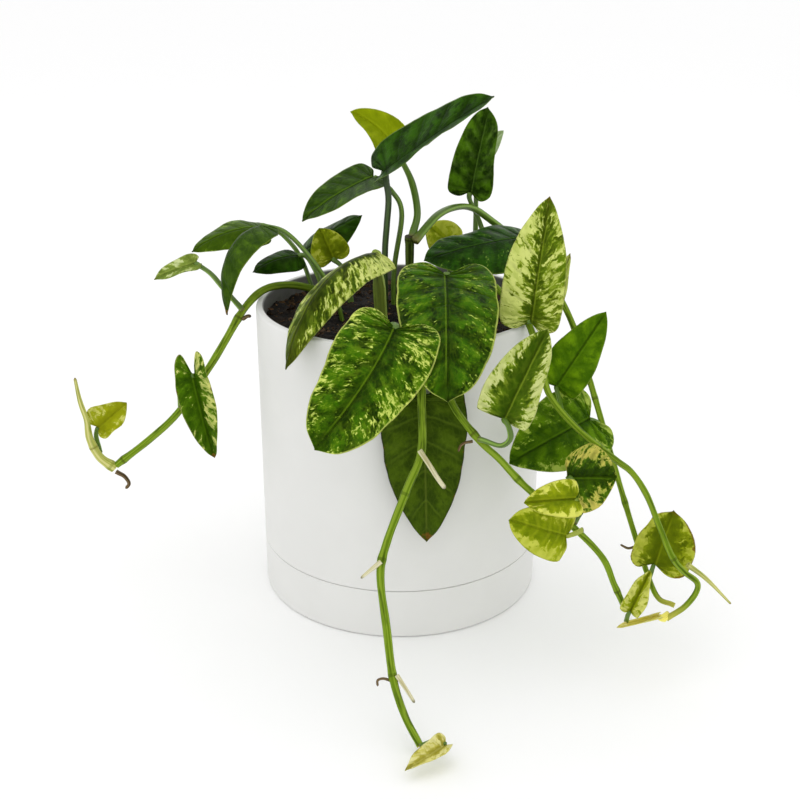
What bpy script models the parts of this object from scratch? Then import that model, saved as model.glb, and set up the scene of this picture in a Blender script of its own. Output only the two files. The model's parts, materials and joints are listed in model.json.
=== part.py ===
"""Potted golden pothos: a straight white pot on a flush drip saucer, potting soil, trailing stems and
heart-shaped leaves on long stalks.

The origin is the centre of the saucer's underside, +Z is up and -Y is the side that is looked at.
Routes, leaf bases and leaf tips are given in millimetres and turned into metres when a mesh is made.
"""

import math
from typing import NamedTuple

import bmesh
import bpy
from mathutils import Matrix, Vector

MM = 0.001
GAP = 0.3  # clearance between pieces that touch

# Pot and saucer, turned about Z
POT_RADIUS = 75.0
POT_HEIGHT = 157.4  # from the surface to the rim
POT_WALL = 4.0
POT_FLOOR = 5.0
SAUCER_HEIGHT = 26.6
SAUCER_WALL = 3.4
SAUCER_FLOOR = 3.0
DRAIN_RADIUS = 6.0
EDGE_ROUND = 1.2
TURN_STEPS = 56

# Soil
SOIL_LEVEL = 149.0
SOIL_SWELL = 1.6  # how far its surface rises and falls
SOIL_RINGS = 6

# Leaves
BLADE_THICKNESS = 1.0
STALK_RADIUS = 1.25
STALK_RINGS = 6
STALK_SIDES = 8
# Half an outline, from the notch at the stalk round a lobe to the tip: share of the half width across,
# share of the length along, and where the side vein that ends there leaves the midrib.
OUTLINE = (
    (0.05, -0.01, 0.00),
    (0.42, -0.13, 0.00),
    (0.82, -0.07, 0.01),
    (1.00, 0.14, 0.06),
    (0.94, 0.41, 0.25),
    (0.65, 0.69, 0.50),
    (0.27, 0.90, 0.76),
    (0.00, 1.00, 1.00),
)
ACROSS = (-1.0, -0.5, 0.0, 0.5, 1.0)  # stations from one margin to the other
FIRST_RING = 0.35  # how far past each station of the outline its ring is taken

# Finishes: base colour, roughness
WHITE_MATTE = ((0.80, 0.80, 0.79), 0.45)
DARK_SOIL = ((0.035, 0.022, 0.014), 0.95)
STEM_GREEN = ((0.17, 0.34, 0.03), 0.40)
STEM_DARK = ((0.06, 0.13, 0.02), 0.45)
LEAF_DARK = ((0.03, 0.12, 0.02), 0.30)
LEAF_GREEN = ((0.07, 0.22, 0.02), 0.30)
LEAF_OLIVE = ((0.07, 0.10, 0.02), 0.45)
LEAF_MARBLED = ((0.25, 0.42, 0.05), 0.32)
LEAF_CREAM = ((0.55, 0.60, 0.22), 0.35)
LEAF_YOUNG = ((0.45, 0.52, 0.05), 0.38)
SHEATH_CREAM = ((0.62, 0.58, 0.30), 0.60)
ROOT_BROWN = ((0.07, 0.04, 0.02), 0.80)


class Stem(NamedTuple):
    """A round shoot along a route, as thick at its foot as at its end unless it tapers."""

    route: tuple
    radius: float
    finish: tuple
    end_radius: float = 0.0  # 0 keeps the foot's radius
    rings: int = 22


class Leaf(NamedTuple):
    """One blade with its stalk. Angles are in degrees."""

    base: tuple  # where the blade meets its stalk
    tip: tuple
    facing: tuple  # where the upper face looks
    width: float
    stalk: tuple  # route of the stalk up to, and without, the base
    finish: tuple
    fold: float = 12.0  # how far each half rises from the midrib
    curl: float = -18.0  # how much more it turns up, or down, by the margin
    arch: float = 25.0  # how far the midrib bends back on its way to the tip
    twist: float = 0.0  # how far the tip is turned about the midrib
    sweep: float = 0.0  # how far the midrib bends to its right
    lobe: float = 1.0  # how deep the lobes reach behind the base
    full: float = 0.2  # how much rounder the half towards the tip is
    stalk_radius: float = STALK_RADIUS


STEMS = {
    # Left: leaves the soil at the back left, rises over the rim and reaches out and down
    "stem_left": Stem(
        (
            (-36.3, 14, 152.5),
            (-47, 13, 160),
            (-60, 10, 163),
            (-72, 6, 161.3),
            (-81.5, -2, 153.5),
            (-91, -13, 139),
            (-99, -20, 127),
            (-115, -26, 105),
            (-130, -28, 91),
            (-147, -30, 78),
        ),
        2.5,
        STEM_GREEN,
        end_radius=2.1,
    ),
    "shoot_left": Stem(
        (
            (-151, -30, 76),
            (-157, -31, 82),
            (-161, -31, 92),
            (-162, -30, 102),
            (-165, -28, 112),
            (-167, -26, 124),
        ),
        2.6,
        LEAF_YOUNG,
        end_radius=0.9,
        rings=12,
    ),
    # Front: hangs over the rim, then reaches forward to the surface
    "stem_front": Stem(
        (
            (7.5, -53.5, 152.5),
            (8, -57, 156),
            (9, -68, 161),
            (10, -77, 160),
            (10, -80, 150),
            (10, -86, 135),
            (10, -92, 112),
            (3, -99, 95),
            (-6, -112, 75),
            (-9, -120, 62),
            (-6, -136, 43),
            (-3, -150, 26),
            (2, -160, 14),
            (8, -167, 5),
        ),
        2.5,
        STEM_GREEN,
        end_radius=2.0,
        rings=32,
    ),
    # Right: three shoots that lean out over the rim and fall to the front
    "stem_right_front": Stem(
        (
            (16.7, -50.2, 152.5),
            (17, -55, 157),
            (18, -67, 161),
            (20, -76, 160),
            (22, -80, 149),
            (24, -85, 134),
            (36, -96, 120),
            (46, -99, 111),
            (58, -103, 99),
            (80, -108, 81),
            (94, -112, 67),
            (100, -114, 54),
            (105, -114, 43),
        ),
        2.4,
        STEM_GREEN,
        end_radius=1.8,
        rings=32,
    ),
    "stem_right_middle": Stem(
        (
            (25.4, 0.6, 152.5),
            (26, 0, 157),
            (32, -6, 167),
            (40, -12, 171),
            (46, -15, 171),
            (52, -22, 167),
            (57, -33, 162),
            (62, -43, 160),
            (65, -50, 154),
            (68, -62, 145),
            (71, -74, 133),
            (84, -82, 119),
            (102, -86, 105),
            (110, -88, 99),
            (117, -92, 89),
            (123, -98, 75),
            (129, -102, 62),
            (135, -102, 54),
            (142, -102, 48),
            (142, -102, 42),
            (137, -103, 35),
            (130, -105, 31),
        ),
        2.2,
        STEM_GREEN,
        end_radius=1.7,
        rings=40,
    ),
    "stem_right_back": Stem(
        (
            (51.9, -2, 152.5),
            (55, -2, 160),
            (63, -2, 170),
            (72, -8, 173),
            (80, -19, 166),
            (87, -30, 153),
            (92, -41, 137),
            (97, -51, 121),
            (108, -66, 85),
            (116, -77, 60),
            (123, -87, 40),
            (127, -92, 33),
            (132, -95, 32),
        ),
        2.0,
        STEM_DARK,
        end_radius=1.6,
        rings=28,
    ),
    # Centre: the short old stem that carries the tall stalks
    "stem_centre": Stem(
        ((4.5, 7.5, 152.5), (5, 7, 160), (5, 5, 176), (5, 3, 189)), 2.6, STEM_DARK, end_radius=3.2, rings=7
    ),
}

# Small parts of the stems: papery sheaths and aerial roots
SHOOTS = {
    "sheath_front_upper": Stem(
        ((11, -97, 111), (14, -99, 107), (18, -101, 102), (21, -101, 97)), 1.5, SHEATH_CREAM, 1.2, 6
    ),
    "sheath_front_middle": Stem(
        ((-12, -120, 66), (-15, -121, 64), (-18, -121, 61)), 1.4, SHEATH_CREAM, 0.8, 5
    ),
    "sheath_front_lower": Stem(
        ((3, -152, 26), (5, -155, 21), (7, -157, 18)), 1.3, SHEATH_CREAM, 0.8, 5
    ),
    "root_front_lower": Stem(
        ((-6, -150, 25), (-8, -151, 27), (-10, -151, 26), (-10, -151, 23)), 0.8, ROOT_BROWN, 0.6, 6
    ),
    "root_right_front": Stem(
        ((32, -95, 118), (30, -96, 118), (28, -97, 117), (27, -97, 114)), 0.9, ROOT_BROWN, 0.6, 6
    ),
    "root_left_rim": Stem(
        ((-81, -7, 150), (-79, -10, 152), (-77, -13, 153)), 1.2, ROOT_BROWN, 1.0, 5
    ),
    "root_left_elbow": Stem(
        ((-148, -30, 72), (-145, -30, 70), (-143, -30, 66), (-145, -30, 63)), 1.4, ROOT_BROWN, 1.0, 6
    ),
    "root_right_back": Stem(
        ((114.2, -81.2, 55.5), (111, -82.5, 55.5), (107, -83, 58)), 0.9, ROOT_BROWN, 0.6, 5
    ),
    "spear_right": Stem(
        ((140.5, -99.6, 54), (148, -98.5, 47.5), (161, -97, 34)), 1.7, LEAF_YOUNG, 0.6, 8
    ),
}

LEAVES = {
    # Tall stalks at the centre
    "leaf_top_long": Leaf(
        base=(-8, 0, 225), tip=(46, -6, 263), facing=(-0.33, -0.3, 0.9), width=37,
        stalk=((-8, 5, 152.5), (-8, 5, 180), (-7, 4, 196), (-6, 2, 210), (-7, 1, 219)),
        finish=LEAF_DARK, fold=15, curl=6, arch=6, lobe=0.6, full=0.8, stalk_radius=1.9,
    ),
    "leaf_top_young": Leaf(
        base=(-1, 27, 229), tip=(-26, 32, 250), facing=(0.35, -0.85, 0.35), width=22,
        stalk=((7, 6, 193), (9, 11, 202), (6, 20, 216)),
        finish=LEAF_YOUNG, fold=14, curl=20, arch=-10, sweep=-50, lobe=0.3, stalk_radius=1.5,
    ),
    "leaf_top_left": Leaf(
        base=(-13.5, 17, 219), tip=(-50, -2, 200), facing=(-0.2, -0.33, 0.92), width=31,
        stalk=((-3, 16, 152.5), (-3, 16, 170), (1, 14, 200), (-4, 14, 212)),
        finish=LEAF_GREEN, fold=10, curl=-6, arch=22, lobe=0.6, stalk_radius=1.5,
    ),
    "leaf_back_tall": Leaf(
        base=(38, 45, 205), tip=(47, 50, 250), facing=(-0.3, -0.93, 0.1), width=26,
        stalk=((48, 29.9, 152.5), (48, 34, 171), (44, 40, 188), (38, 44, 201)),
        finish=LEAF_DARK, fold=24, curl=-10, arch=12, lobe=0.5, full=0.9,
    ),
    "leaf_back_small": Leaf(
        base=(41, 62, 217), tip=(57, 66, 235), facing=(-0.4, -0.8, 0.5), width=15,
        stalk=((41.3, 46.2, 152.5), (42, 52, 175), (42, 58, 205)),
        finish=LEAF_GREEN, fold=10, curl=-10,
    ),
    "leaf_back_left": Leaf(
        base=(-53, 50, 171), tip=(-21, 56, 190), facing=(-0.1, -0.5, 0.85), width=28,
        stalk=((-39, 42.8, 152.5), (-41, 44, 156), (-50, 48, 165)),
        finish=LEAF_DARK, fold=-15, curl=-30, arch=30, lobe=0.5,
    ),
    "leaf_back_round": Leaf(
        base=(-37, 34, 171), tip=(-44, 38, 187), facing=(0.1, -0.9, 0.4), width=22,
        stalk=((-27.4, 26.8, 152.5), (-28, 28, 156), (-31, 32, 166)),
        finish=LEAF_MARBLED, curl=10, arch=15,
    ),
    # Left side
    "leaf_left_short": Leaf(
        base=(-55, 27, 174.5), tip=(-79, 20, 167), facing=(0.05, -0.45, 0.85), width=19,
        stalk=((-41.8, 22.8, 152.5), (-43, 24, 160), (-47, 26, 169), (-51, 28, 174)),
        finish=LEAF_DARK, fold=-14, curl=-15, arch=50,
    ),
    "leaf_left_long": Leaf(
        base=(-72, 7, 196), tip=(-88, -18, 155), facing=(-0.8, -0.45, 0.38), width=31,
        stalk=((-32.3, 2.6, 152.5), (-34, 3, 159), (-45, 5, 177), (-59, 7, 192)),
        finish=LEAF_DARK, fold=-20, curl=-25, arch=110, stalk_radius=1.3,
    ),
    "leaf_left_arched": Leaf(
        base=(-75, 31, 189), tip=(-110, 14, 180), facing=(-0.1, -0.6, 0.75), width=23,
        stalk=((-47.9, 34.7, 152.5), (-54, 37, 170), (-63, 36, 183), (-70, 33, 188)),
        finish=LEAF_GREEN, fold=-12, curl=-20, arch=55,
    ),
    "leaf_left_tip": Leaf(
        base=(-107, 6, 176), tip=(-128, 0, 169), facing=(-0.15, -0.6, 0.75), width=12,
        stalk=((-84, -3, 155.5), (-92, 0, 164), (-99, 4, 171)),
        finish=LEAF_YOUNG, fold=16, curl=0, arch=10,
    ),
    "leaf_left_hanging": Leaf(
        base=(-104, -36, 129), tip=(-95, -42, 86), facing=(-0.1, -0.95, 0.15), width=21,
        stalk=((-113, -28, 112), (-113, -28, 120), (-109, -31, 126)),
        finish=LEAF_GREEN, fold=42, curl=-30, arch=12, lobe=2,
    ),
    "leaf_left_cupped": Leaf(
        base=(-158, -25, 96), tip=(-143, -20, 108), facing=(0.1, -0.85, 0.45), width=22,
        stalk=((-158, -27, 86), (-159, -26, 92)),
        finish=LEAF_YOUNG, fold=20, curl=40, arch=-25, stalk_radius=1,
    ),
    # Front
    "leaf_front_cream": Leaf(
        base=(-12, -18, 188), tip=(-54, -72, 145), facing=(-0.5, -0.48, 0.72), width=33,
        stalk=((-9.6, -13.4, 152.5), (-10, -13, 158), (-11, -14, 176), (-11.5, -15, 183)),
        finish=LEAF_CREAM, fold=-20, curl=-16, arch=80, lobe=0.25, full=0.5, stalk_radius=2.2,
    ),
    "leaf_front_large": Leaf(
        base=(-2, -80, 168), tip=(-38, -118, 124), facing=(-0.05, -0.75, 0.65), width=46,
        stalk=((-5, -43.9, 152.5), (-4, -60, 163), (-2, -71, 167)),
        finish=LEAF_MARBLED, fold=8, curl=-14, arch=22, sweep=24, lobe=0.75, full=1.6,
        stalk_radius=1.6,
    ),
    "leaf_front_right": Leaf(
        base=(22.5, -42, 183), tip=(21.5, -104, 141), facing=(0.05, -0.6, 0.8), width=48.5,
        stalk=((21.3, -22.1, 152.5), (22, -21, 158), (23, -25, 172), (23, -33, 180)),
        finish=LEAF_MARBLED, fold=8, curl=-16, arch=34, full=1.4, stalk_radius=1.6,
    ),
    "leaf_front_low": Leaf(
        base=(11, -79.5, 135), tip=(13, -86, 61), facing=(0.05, -1, 0.15), width=42,
        stalk=((5, -79.5, 153), (7, -79.5, 145)),
        finish=LEAF_OLIVE, fold=-4, curl=-14, arch=8, lobe=0.3, stalk_radius=1,
    ),
    "leaf_front_tip": Leaf(
        base=(20, -173, 8), tip=(2, -187, 5), facing=(-0.05, -0.45, 0.9), width=12,
        stalk=((12, -170, 6), (16, -170, 8)),
        finish=LEAF_YOUNG, fold=30, curl=20, arch=0, lobe=0.4, stalk_radius=1,
    ),
    # Right side
    "leaf_right_upper": Leaf(
        base=(65, 12, 188), tip=(12, -12, 182), facing=(0, -0.4, 0.92), width=42,
        stalk=((9.5, 2, 191), (19, 10, 200), (29, 22, 202), (39, 33, 199), (51, 38, 190),
               (64, 32, 181), (70, 20, 180)),
        finish=LEAF_MARBLED, fold=-6, curl=-20, arch=16, full=0.6, stalk_radius=1.9,
    ),
    "leaf_right_behind": Leaf(
        base=(28, 36, 178), tip=(14, 36, 189), facing=(0, -0.85, 0.5), width=22,
        stalk=((26.5, 31.9, 152.5), (27, 34, 162), (28, 36, 172)),
        finish=LEAF_YOUNG, fold=8, curl=-10,
    ),
    "leaf_right_tall": Leaf(
        base=(63, -51, 162), tip=(71, -40, 221), facing=(-0.35, -0.9, 0.2), width=33,
        stalk=((58, -42, 165), (60, -47, 162)),
        finish=LEAF_CREAM, fold=22, arch=10, lobe=0.5,
    ),
    "leaf_right_side": Leaf(
        base=(71, -43, 158), tip=(84, -28, 190), facing=(-0.5, -0.85, 0.1), width=13,
        stalk=((70, -48.5, 150), (71, -46, 154)),
        finish=LEAF_CREAM, fold=24, curl=0, arch=6, lobe=0.5, stalk_radius=1,
    ),
    "leaf_right_bright": Leaf(
        base=(47, -101, 132), tip=(67, -86, 170), facing=(-0.35, -0.88, 0.3), width=29,
        stalk=((39, -101, 121), (46, -104, 120), (50, -105, 124), (49, -105, 130)),
        finish=LEAF_CREAM, fold=14, curl=20, arch=18, lobe=0.1,
    ),
    "leaf_right_plain": Leaf(
        base=(76, -57, 131), tip=(99, -53, 168), facing=(-0.15, -0.9, 0.35), width=24,
        stalk=((77, -70, 125), (77, -64, 127)),
        finish=LEAF_GREEN, fold=10, curl=-15, arch=10, lobe=0.2, stalk_radius=1,
    ),
    "leaf_right_low": Leaf(
        base=(93, -60, 115), tip=(52, -84, 102), facing=(-0.1, -0.85, 0.5), width=40,
        stalk=((99, -58, 110), (97, -59, 113)),
        finish=LEAF_GREEN, arch=16, stalk_radius=1,
    ),
    "leaf_right_round": Leaf(
        base=(78, -98, 102), tip=(102, -92, 99), facing=(0, -0.95, 0.3), width=36,
        stalk=((82, -106, 85), (85, -103, 89), (84, -99, 95)),
        finish=LEAF_DARK, fold=15, curl=30, arch=-10, stalk_radius=1.3,
    ),
    "leaf_right_folded": Leaf(
        base=(80, -112, 97), tip=(56, -116, 97), facing=(0, -0.8, 0.6), width=19,
        stalk=((80.2, -109.5, 86.5), (81, -111.3, 92)),
        finish=LEAF_YOUNG, fold=26, curl=-20, arch=14, lobe=0.6, stalk_radius=1,
    ),
    "leaf_right_golden": Leaf(
        base=(76, -116.2, 80), tip=(49, -121.5, 91.2), facing=(-0.05, -0.9, 0.4), width=25,
        stalk=((82, -112, 80), (81, -113, 80)),
        finish=LEAF_YOUNG, fold=8, curl=-14, arch=14, lobe=0.5, full=0.7, stalk_radius=0.9,
    ),
    "leaf_low_cupped": Leaf(
        base=(124, -88, 50), tip=(133, -81, 76), facing=(0, -0.95, 0.3), width=36,
        stalk=((122, -90, 44), (123, -89, 47)),
        finish=LEAF_YOUNG, fold=16, curl=36, arch=-16, full=1, stalk_radius=0.9,
    ),
    "leaf_low_folded": Leaf(
        base=(108, -117, 41), tip=(117, -112, 60), facing=(-0.3, -0.85, 0.3), width=13,
        stalk=((107, -116, 37), (107, -117, 39)),
        finish=LEAF_YOUNG, fold=34, curl=0, arch=8, lobe=0.4, stalk_radius=0.8,
    ),
    "leaf_low_tip": Leaf(
        base=(124, -107, 32), tip=(102, -118, 33), facing=(0.05, -0.7, 0.7), width=7,
        stalk=((127, -106, 31), (126, -107, 31)),
        finish=LEAF_YOUNG, fold=24, curl=20, arch=6, lobe=0.3, stalk_radius=0.8,
    ),
}


def clear_scene():
    for thing in list(bpy.data.objects):
        bpy.data.objects.remove(thing, do_unlink=True)


def make_material(name, finish):
    colour, roughness = finish
    material = bpy.data.materials.new(name)
    material.use_nodes = True
    shader = material.node_tree.nodes["Principled BSDF"]
    shader.inputs["Base Color"].default_value = (*colour, 1.0)
    shader.inputs["Roughness"].default_value = roughness
    shader.inputs["Metallic"].default_value = 0.0
    return material


def make_object(name, mesh, finish, smooth_angle=50.0):
    mesh.materials.append(make_material(name + "_finish", finish))
    mesh.shade_smooth()
    mesh.set_sharp_from_angle(angle=math.radians(smooth_angle))
    thing = bpy.data.objects.new(name, mesh)
    bpy.context.collection.objects.link(thing)
    return thing


def turn_profile(name, profile, finish):
    """A closed profile of (radius, height) in millimetres, turned about Z."""
    bm = bmesh.new()
    verts = [bm.verts.new((radius * MM, 0, height * MM)) for radius, height in profile]
    edges = [bm.edges.new((verts[i - 1], verts[i])) for i in range(len(verts))]
    bmesh.ops.spin(
        bm, geom=verts + edges, cent=(0, 0, 0), axis=(0, 0, 1), angle=math.tau, steps=TURN_STEPS
    )
    bmesh.ops.remove_doubles(bm, verts=bm.verts, dist=0.01 * MM)
    bmesh.ops.recalc_face_normals(bm, faces=bm.faces)
    mesh = bpy.data.meshes.new(name)
    bm.to_mesh(mesh)
    bm.free()
    return make_object(name, mesh, finish)


def saucer():
    inner = POT_RADIUS - SAUCER_WALL
    profile = (
        (0, 0),
        (POT_RADIUS - EDGE_ROUND, 0),
        (POT_RADIUS, EDGE_ROUND),
        (POT_RADIUS, SAUCER_HEIGHT - EDGE_ROUND / 4),
        (POT_RADIUS - EDGE_ROUND / 4, SAUCER_HEIGHT),
        (inner, SAUCER_HEIGHT),
        (inner, SAUCER_FLOOR),
        (0, SAUCER_FLOOR),
    )
    return turn_profile("saucer", profile, WHITE_MATTE)


def pot():
    foot = POT_RADIUS - SAUCER_WALL - GAP
    foot_level = SAUCER_FLOOR + GAP
    shoulder = SAUCER_HEIGHT + GAP
    inner = POT_RADIUS - POT_WALL
    lower_inner = foot - POT_WALL
    profile = (
        (DRAIN_RADIUS, foot_level),
        (foot, foot_level),
        (foot, shoulder),
        (POT_RADIUS - EDGE_ROUND / 4, shoulder),
        (POT_RADIUS, shoulder + EDGE_ROUND / 4),
        (POT_RADIUS, POT_HEIGHT - EDGE_ROUND),
        (POT_RADIUS - EDGE_ROUND, POT_HEIGHT),
        (inner + EDGE_ROUND, POT_HEIGHT),
        (inner, POT_HEIGHT - EDGE_ROUND),
        (inner, shoulder + POT_WALL),
        (lower_inner, shoulder),
        (lower_inner, foot_level + POT_FLOOR),
        (DRAIN_RADIUS, foot_level + POT_FLOOR),
    )
    return turn_profile("pot", profile, WHITE_MATTE)


def soil_height(x, y):
    """Gentle rises and dips of the soil's surface, in millimetres."""
    return SOIL_LEVEL + SOIL_SWELL * (math.sin(x / 17 + 0.6) * math.cos(y / 21) + 0.4 * math.sin(y / 9))


def soil():
    """The soil fills the pot: its side follows the pot's inner wall, and its top is uneven."""
    inner = POT_RADIUS - POT_WALL - GAP
    lower = POT_RADIUS - SAUCER_WALL - GAP - POT_WALL - GAP
    shoulder = SAUCER_HEIGHT + GAP
    floor = SAUCER_FLOOR + GAP + POT_FLOOR + GAP
    side = ((lower, floor), (lower, shoulder + GAP), (inner, shoulder + POT_WALL + GAP))
    bm = bmesh.new()
    angles = [math.tau * step / TURN_STEPS for step in range(TURN_STEPS)]

    def level_ring(radius, height):
        flat = [(radius * math.cos(a), radius * math.sin(a)) for a in angles]
        return [bm.verts.new((x * MM, y * MM, height * MM)) for x, y in flat]

    def surface_ring(radius):
        ring = []
        for a in angles:
            x, y = radius * math.cos(a), radius * math.sin(a)
            ring.append(bm.verts.new((x * MM, y * MM, soil_height(x, y) * MM)))
        return ring

    rings = [level_ring(radius, height) for radius, height in side]
    rings += [surface_ring(inner * (SOIL_RINGS - i) / SOIL_RINGS) for i in range(SOIL_RINGS)]
    join_rings(bm, rings)
    cap_fan(bm, rings[0], Vector((0, 0, floor * MM)), flip=True)
    cap_fan(bm, rings[-1], Vector((0, 0, soil_height(0, 0) * MM)), flip=False)
    mesh = bpy.data.meshes.new("potting_soil")
    bm.to_mesh(mesh)
    bm.free()
    return make_object("potting_soil", mesh, DARK_SOIL)


def join_rings(bm, rings):
    """Quads between rings of equal length, each ring closed."""
    count = len(rings[0])
    for low, high in zip(rings, rings[1:]):
        for i in range(count):
            j = (i + 1) % count
            bm.faces.new((low[i], low[j], high[j], high[i]))


def cap_fan(bm, ring, centre, flip):
    """Closes a ring with triangles to one point."""
    middle = bm.verts.new(centre)
    count = len(ring)
    for i in range(count):
        j = (i + 1) % count
        bm.faces.new((ring[j], ring[i], middle) if flip else (ring[i], ring[j], middle))


def smooth_point(points, at):
    """A point of the Catmull-Rom curve through points, with at running from 0 to 1."""
    spans = len(points) - 1
    place = min(max(at, 0.0), 1.0) * spans
    k = min(int(place), spans - 1)
    f = place - k
    p1, p2 = points[k], points[k + 1]
    p0 = points[k - 1] if k else p1 * 2 - p2
    p3 = points[k + 2] if k + 2 <= spans else p2 * 2 - p1
    return 0.5 * (
        2 * p1 + (p2 - p0) * f + (2 * p0 - 5 * p1 + 4 * p2 - p3) * f**2 + (3 * p1 - p0 - 3 * p2 + p3) * f**3
    )


def stem(name, form):
    """A round tube on a smooth curve through the route, with closed ends."""
    route = [Vector(p) for p in form.route]
    end_radius = form.end_radius or form.radius
    curve = bpy.data.curves.new(name, "CURVE")
    curve.dimensions = "3D"
    curve.bevel_depth = MM
    curve.bevel_resolution = 2
    curve.use_fill_caps = True
    spline = curve.splines.new("POLY")
    spline.points.add(form.rings - 1)
    for i, point in enumerate(spline.points):
        at = i / (form.rings - 1)
        point.co = (*(smooth_point(route, at) * MM), 1.0)
        point.radius = form.radius + (end_radius - form.radius) * at
    curve.materials.append(make_material(name + "_finish", form.finish))
    thing = bpy.data.objects.new(name, curve)
    bpy.context.collection.objects.link(thing)
    return thing


def bent_sheet(form, across, along):
    """Bends a point of the flat blade: across in millimetres, along as a share of the length.

    Returns, in the blade's own axes (X across, Y along, Z up), the point of the midrib as a share of
    the length, the step in millimetres from there out to the point, and the upper face's normal.
    """
    side = -1.0 if across < 0 else 1.0
    start = math.radians(form.fold)
    turn = math.radians(form.curl) * abs(across) / (form.width / 2)
    middle = start + turn / 2
    out = abs(across) * math.cos(middle)
    rise = abs(across) * math.sin(middle)
    slope = start + turn if across else 0.0
    offset = Vector((side * out, 0, rise))
    normal = Vector((-side * math.sin(slope), 0, math.cos(slope)))
    arch = math.radians(form.arch)
    sweep = math.radians(form.sweep)
    turn_here = (
        Matrix.Rotation(-sweep * along, 3, "Z")
        @ Matrix.Rotation(-arch * along, 3, "X")
        @ Matrix.Rotation(math.radians(form.twist) * along, 3, "Y")
    )
    midrib = Vector(
        (
            along * math.sin(sweep * along / 2),
            along * math.cos(arch * along / 2) * math.cos(sweep * along / 2),
            -along * math.sin(arch * along / 2),
        )
    )
    return midrib, turn_here @ offset, turn_here @ normal


def blade_frame(form):
    """The blade's length, and the turn from its own axes to the world."""
    base, tip = Vector(form.base), Vector(form.tip)
    own_tip = bent_sheet(form, 0.0, 1.0)[0]
    length = (tip - base).length / own_tip.length

    def axes(forward, up):
        y = forward.normalized()
        x = y.cross(up).normalized()
        return Matrix((x, y, x.cross(y))).transposed()

    own = axes(own_tip, Vector((0, 0, 1)))
    world = axes(tip - base, Vector(form.facing))
    return length, world @ own.transposed()


def blade_ring(form, frame, at):
    """The vertices round the blade where one pair of side veins runs out to the margins."""
    length, turn = frame
    points = [Vector(p) for p in OUTLINE]
    out, reach, root = smooth_point(points, at)
    out = out ** (1 / (1 + form.full * at * (1 - at**6)))
    reach = reach * form.lobe if reach < 0 else reach

    def place(share, side):
        across = share * out * form.width / 2
        along = root + (reach - root) * abs(share) ** 1.2
        midrib, offset, normal = bent_sheet(form, across, along)
        lift = 0.0 if abs(share) == 1.0 else side * BLADE_THICKNESS / 2
        return (Vector(form.base) + turn @ (midrib * length + offset + normal * lift)) * MM

    upper = [place(share, 1.0) for share in ACROSS]
    lower = [place(share, -1.0) for share in reversed(ACROSS[1:-1])]
    return upper + lower


def stalk_rings(form, frame, route):
    """Round sections of the stalk. The last is turned as the blade is, and each of the others as
    little as possible from the one after it."""
    step = 0.02
    across = frame[1] @ Vector((1, 0, 0))
    rings = []
    for k in reversed(range(STALK_RINGS + 1)):
        at = k / STALK_RINGS
        centre = smooth_point(route, at)
        forward = (smooth_point(route, at + step) - smooth_point(route, at - step)).normalized()
        across = (across - forward * across.dot(forward)).normalized()
        up = across.cross(forward)
        ring = []
        for i in range(STALK_SIDES):
            a = math.pi - math.tau * i / STALK_SIDES
            ring.append((centre + (across * math.cos(a) + up * math.sin(a)) * form.stalk_radius) * MM)
        rings.insert(0, ring)
    return rings


def closed_skin(name, rings, start, end, finish):
    """Rings joined into one closed skin, with a point to close each end."""
    bm = bmesh.new()
    rings = [[bm.verts.new(p) for p in ring] for ring in rings]
    join_rings(bm, rings)
    cap_fan(bm, rings[0], start * MM, flip=True)
    cap_fan(bm, rings[-1], end * MM, flip=False)
    mesh = bpy.data.meshes.new(name)
    bm.to_mesh(mesh)
    bm.free()
    return make_object(name, mesh, finish, smooth_angle=80.0)


def grow_together(body, other):
    """Makes one solid of two that run into each other."""
    modifier = body.modifiers.new("union", "BOOLEAN")
    modifier.operation = "UNION"
    modifier.solver = "MANIFOLD"
    modifier.object = other
    graph = bpy.context.evaluated_depsgraph_get()
    body.data = bpy.data.meshes.new_from_object(body.evaluated_get(graph))
    body.modifiers.clear()
    bpy.data.objects.remove(other, do_unlink=True)


def leaf(name, form):
    """A leaf: its blade, and the round stalk that runs into the blade's base."""
    frame = blade_frame(form)
    base, tip = Vector(form.base), Vector(form.tip)
    stations = len(OUTLINE) - 1
    sections = [blade_ring(form, frame, (i + FIRST_RING) / stations) for i in range(stations)]
    blade = closed_skin(name, sections, base, tip, form.finish)
    route = [Vector(p) for p in form.stalk] + [base]
    rings = stalk_rings(form, frame, route)
    stalk = closed_skin(name + "_stalk", rings, route[0], route[-1], form.finish)
    grow_together(blade, stalk)


def main():
    clear_scene()
    saucer()
    pot()
    soil()
    for name, form in (STEMS | SHOOTS).items():
        stem(name, form)
    for name, form in LEAVES.items():
        leaf(name, form)


main()
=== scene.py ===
"""Looks of a potted golden pothos: a white pot flush on its saucer, barky soil, trailing shoots and
marbled heart-shaped leaves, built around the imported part.

Tables give places in millimetres; meshes are in metres. +Z is up and -Y faces the viewer.
"""

import json
import math
from typing import NamedTuple

import bmesh
import bpy
import numpy as np
from mathutils import Matrix, Vector, noise


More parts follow.
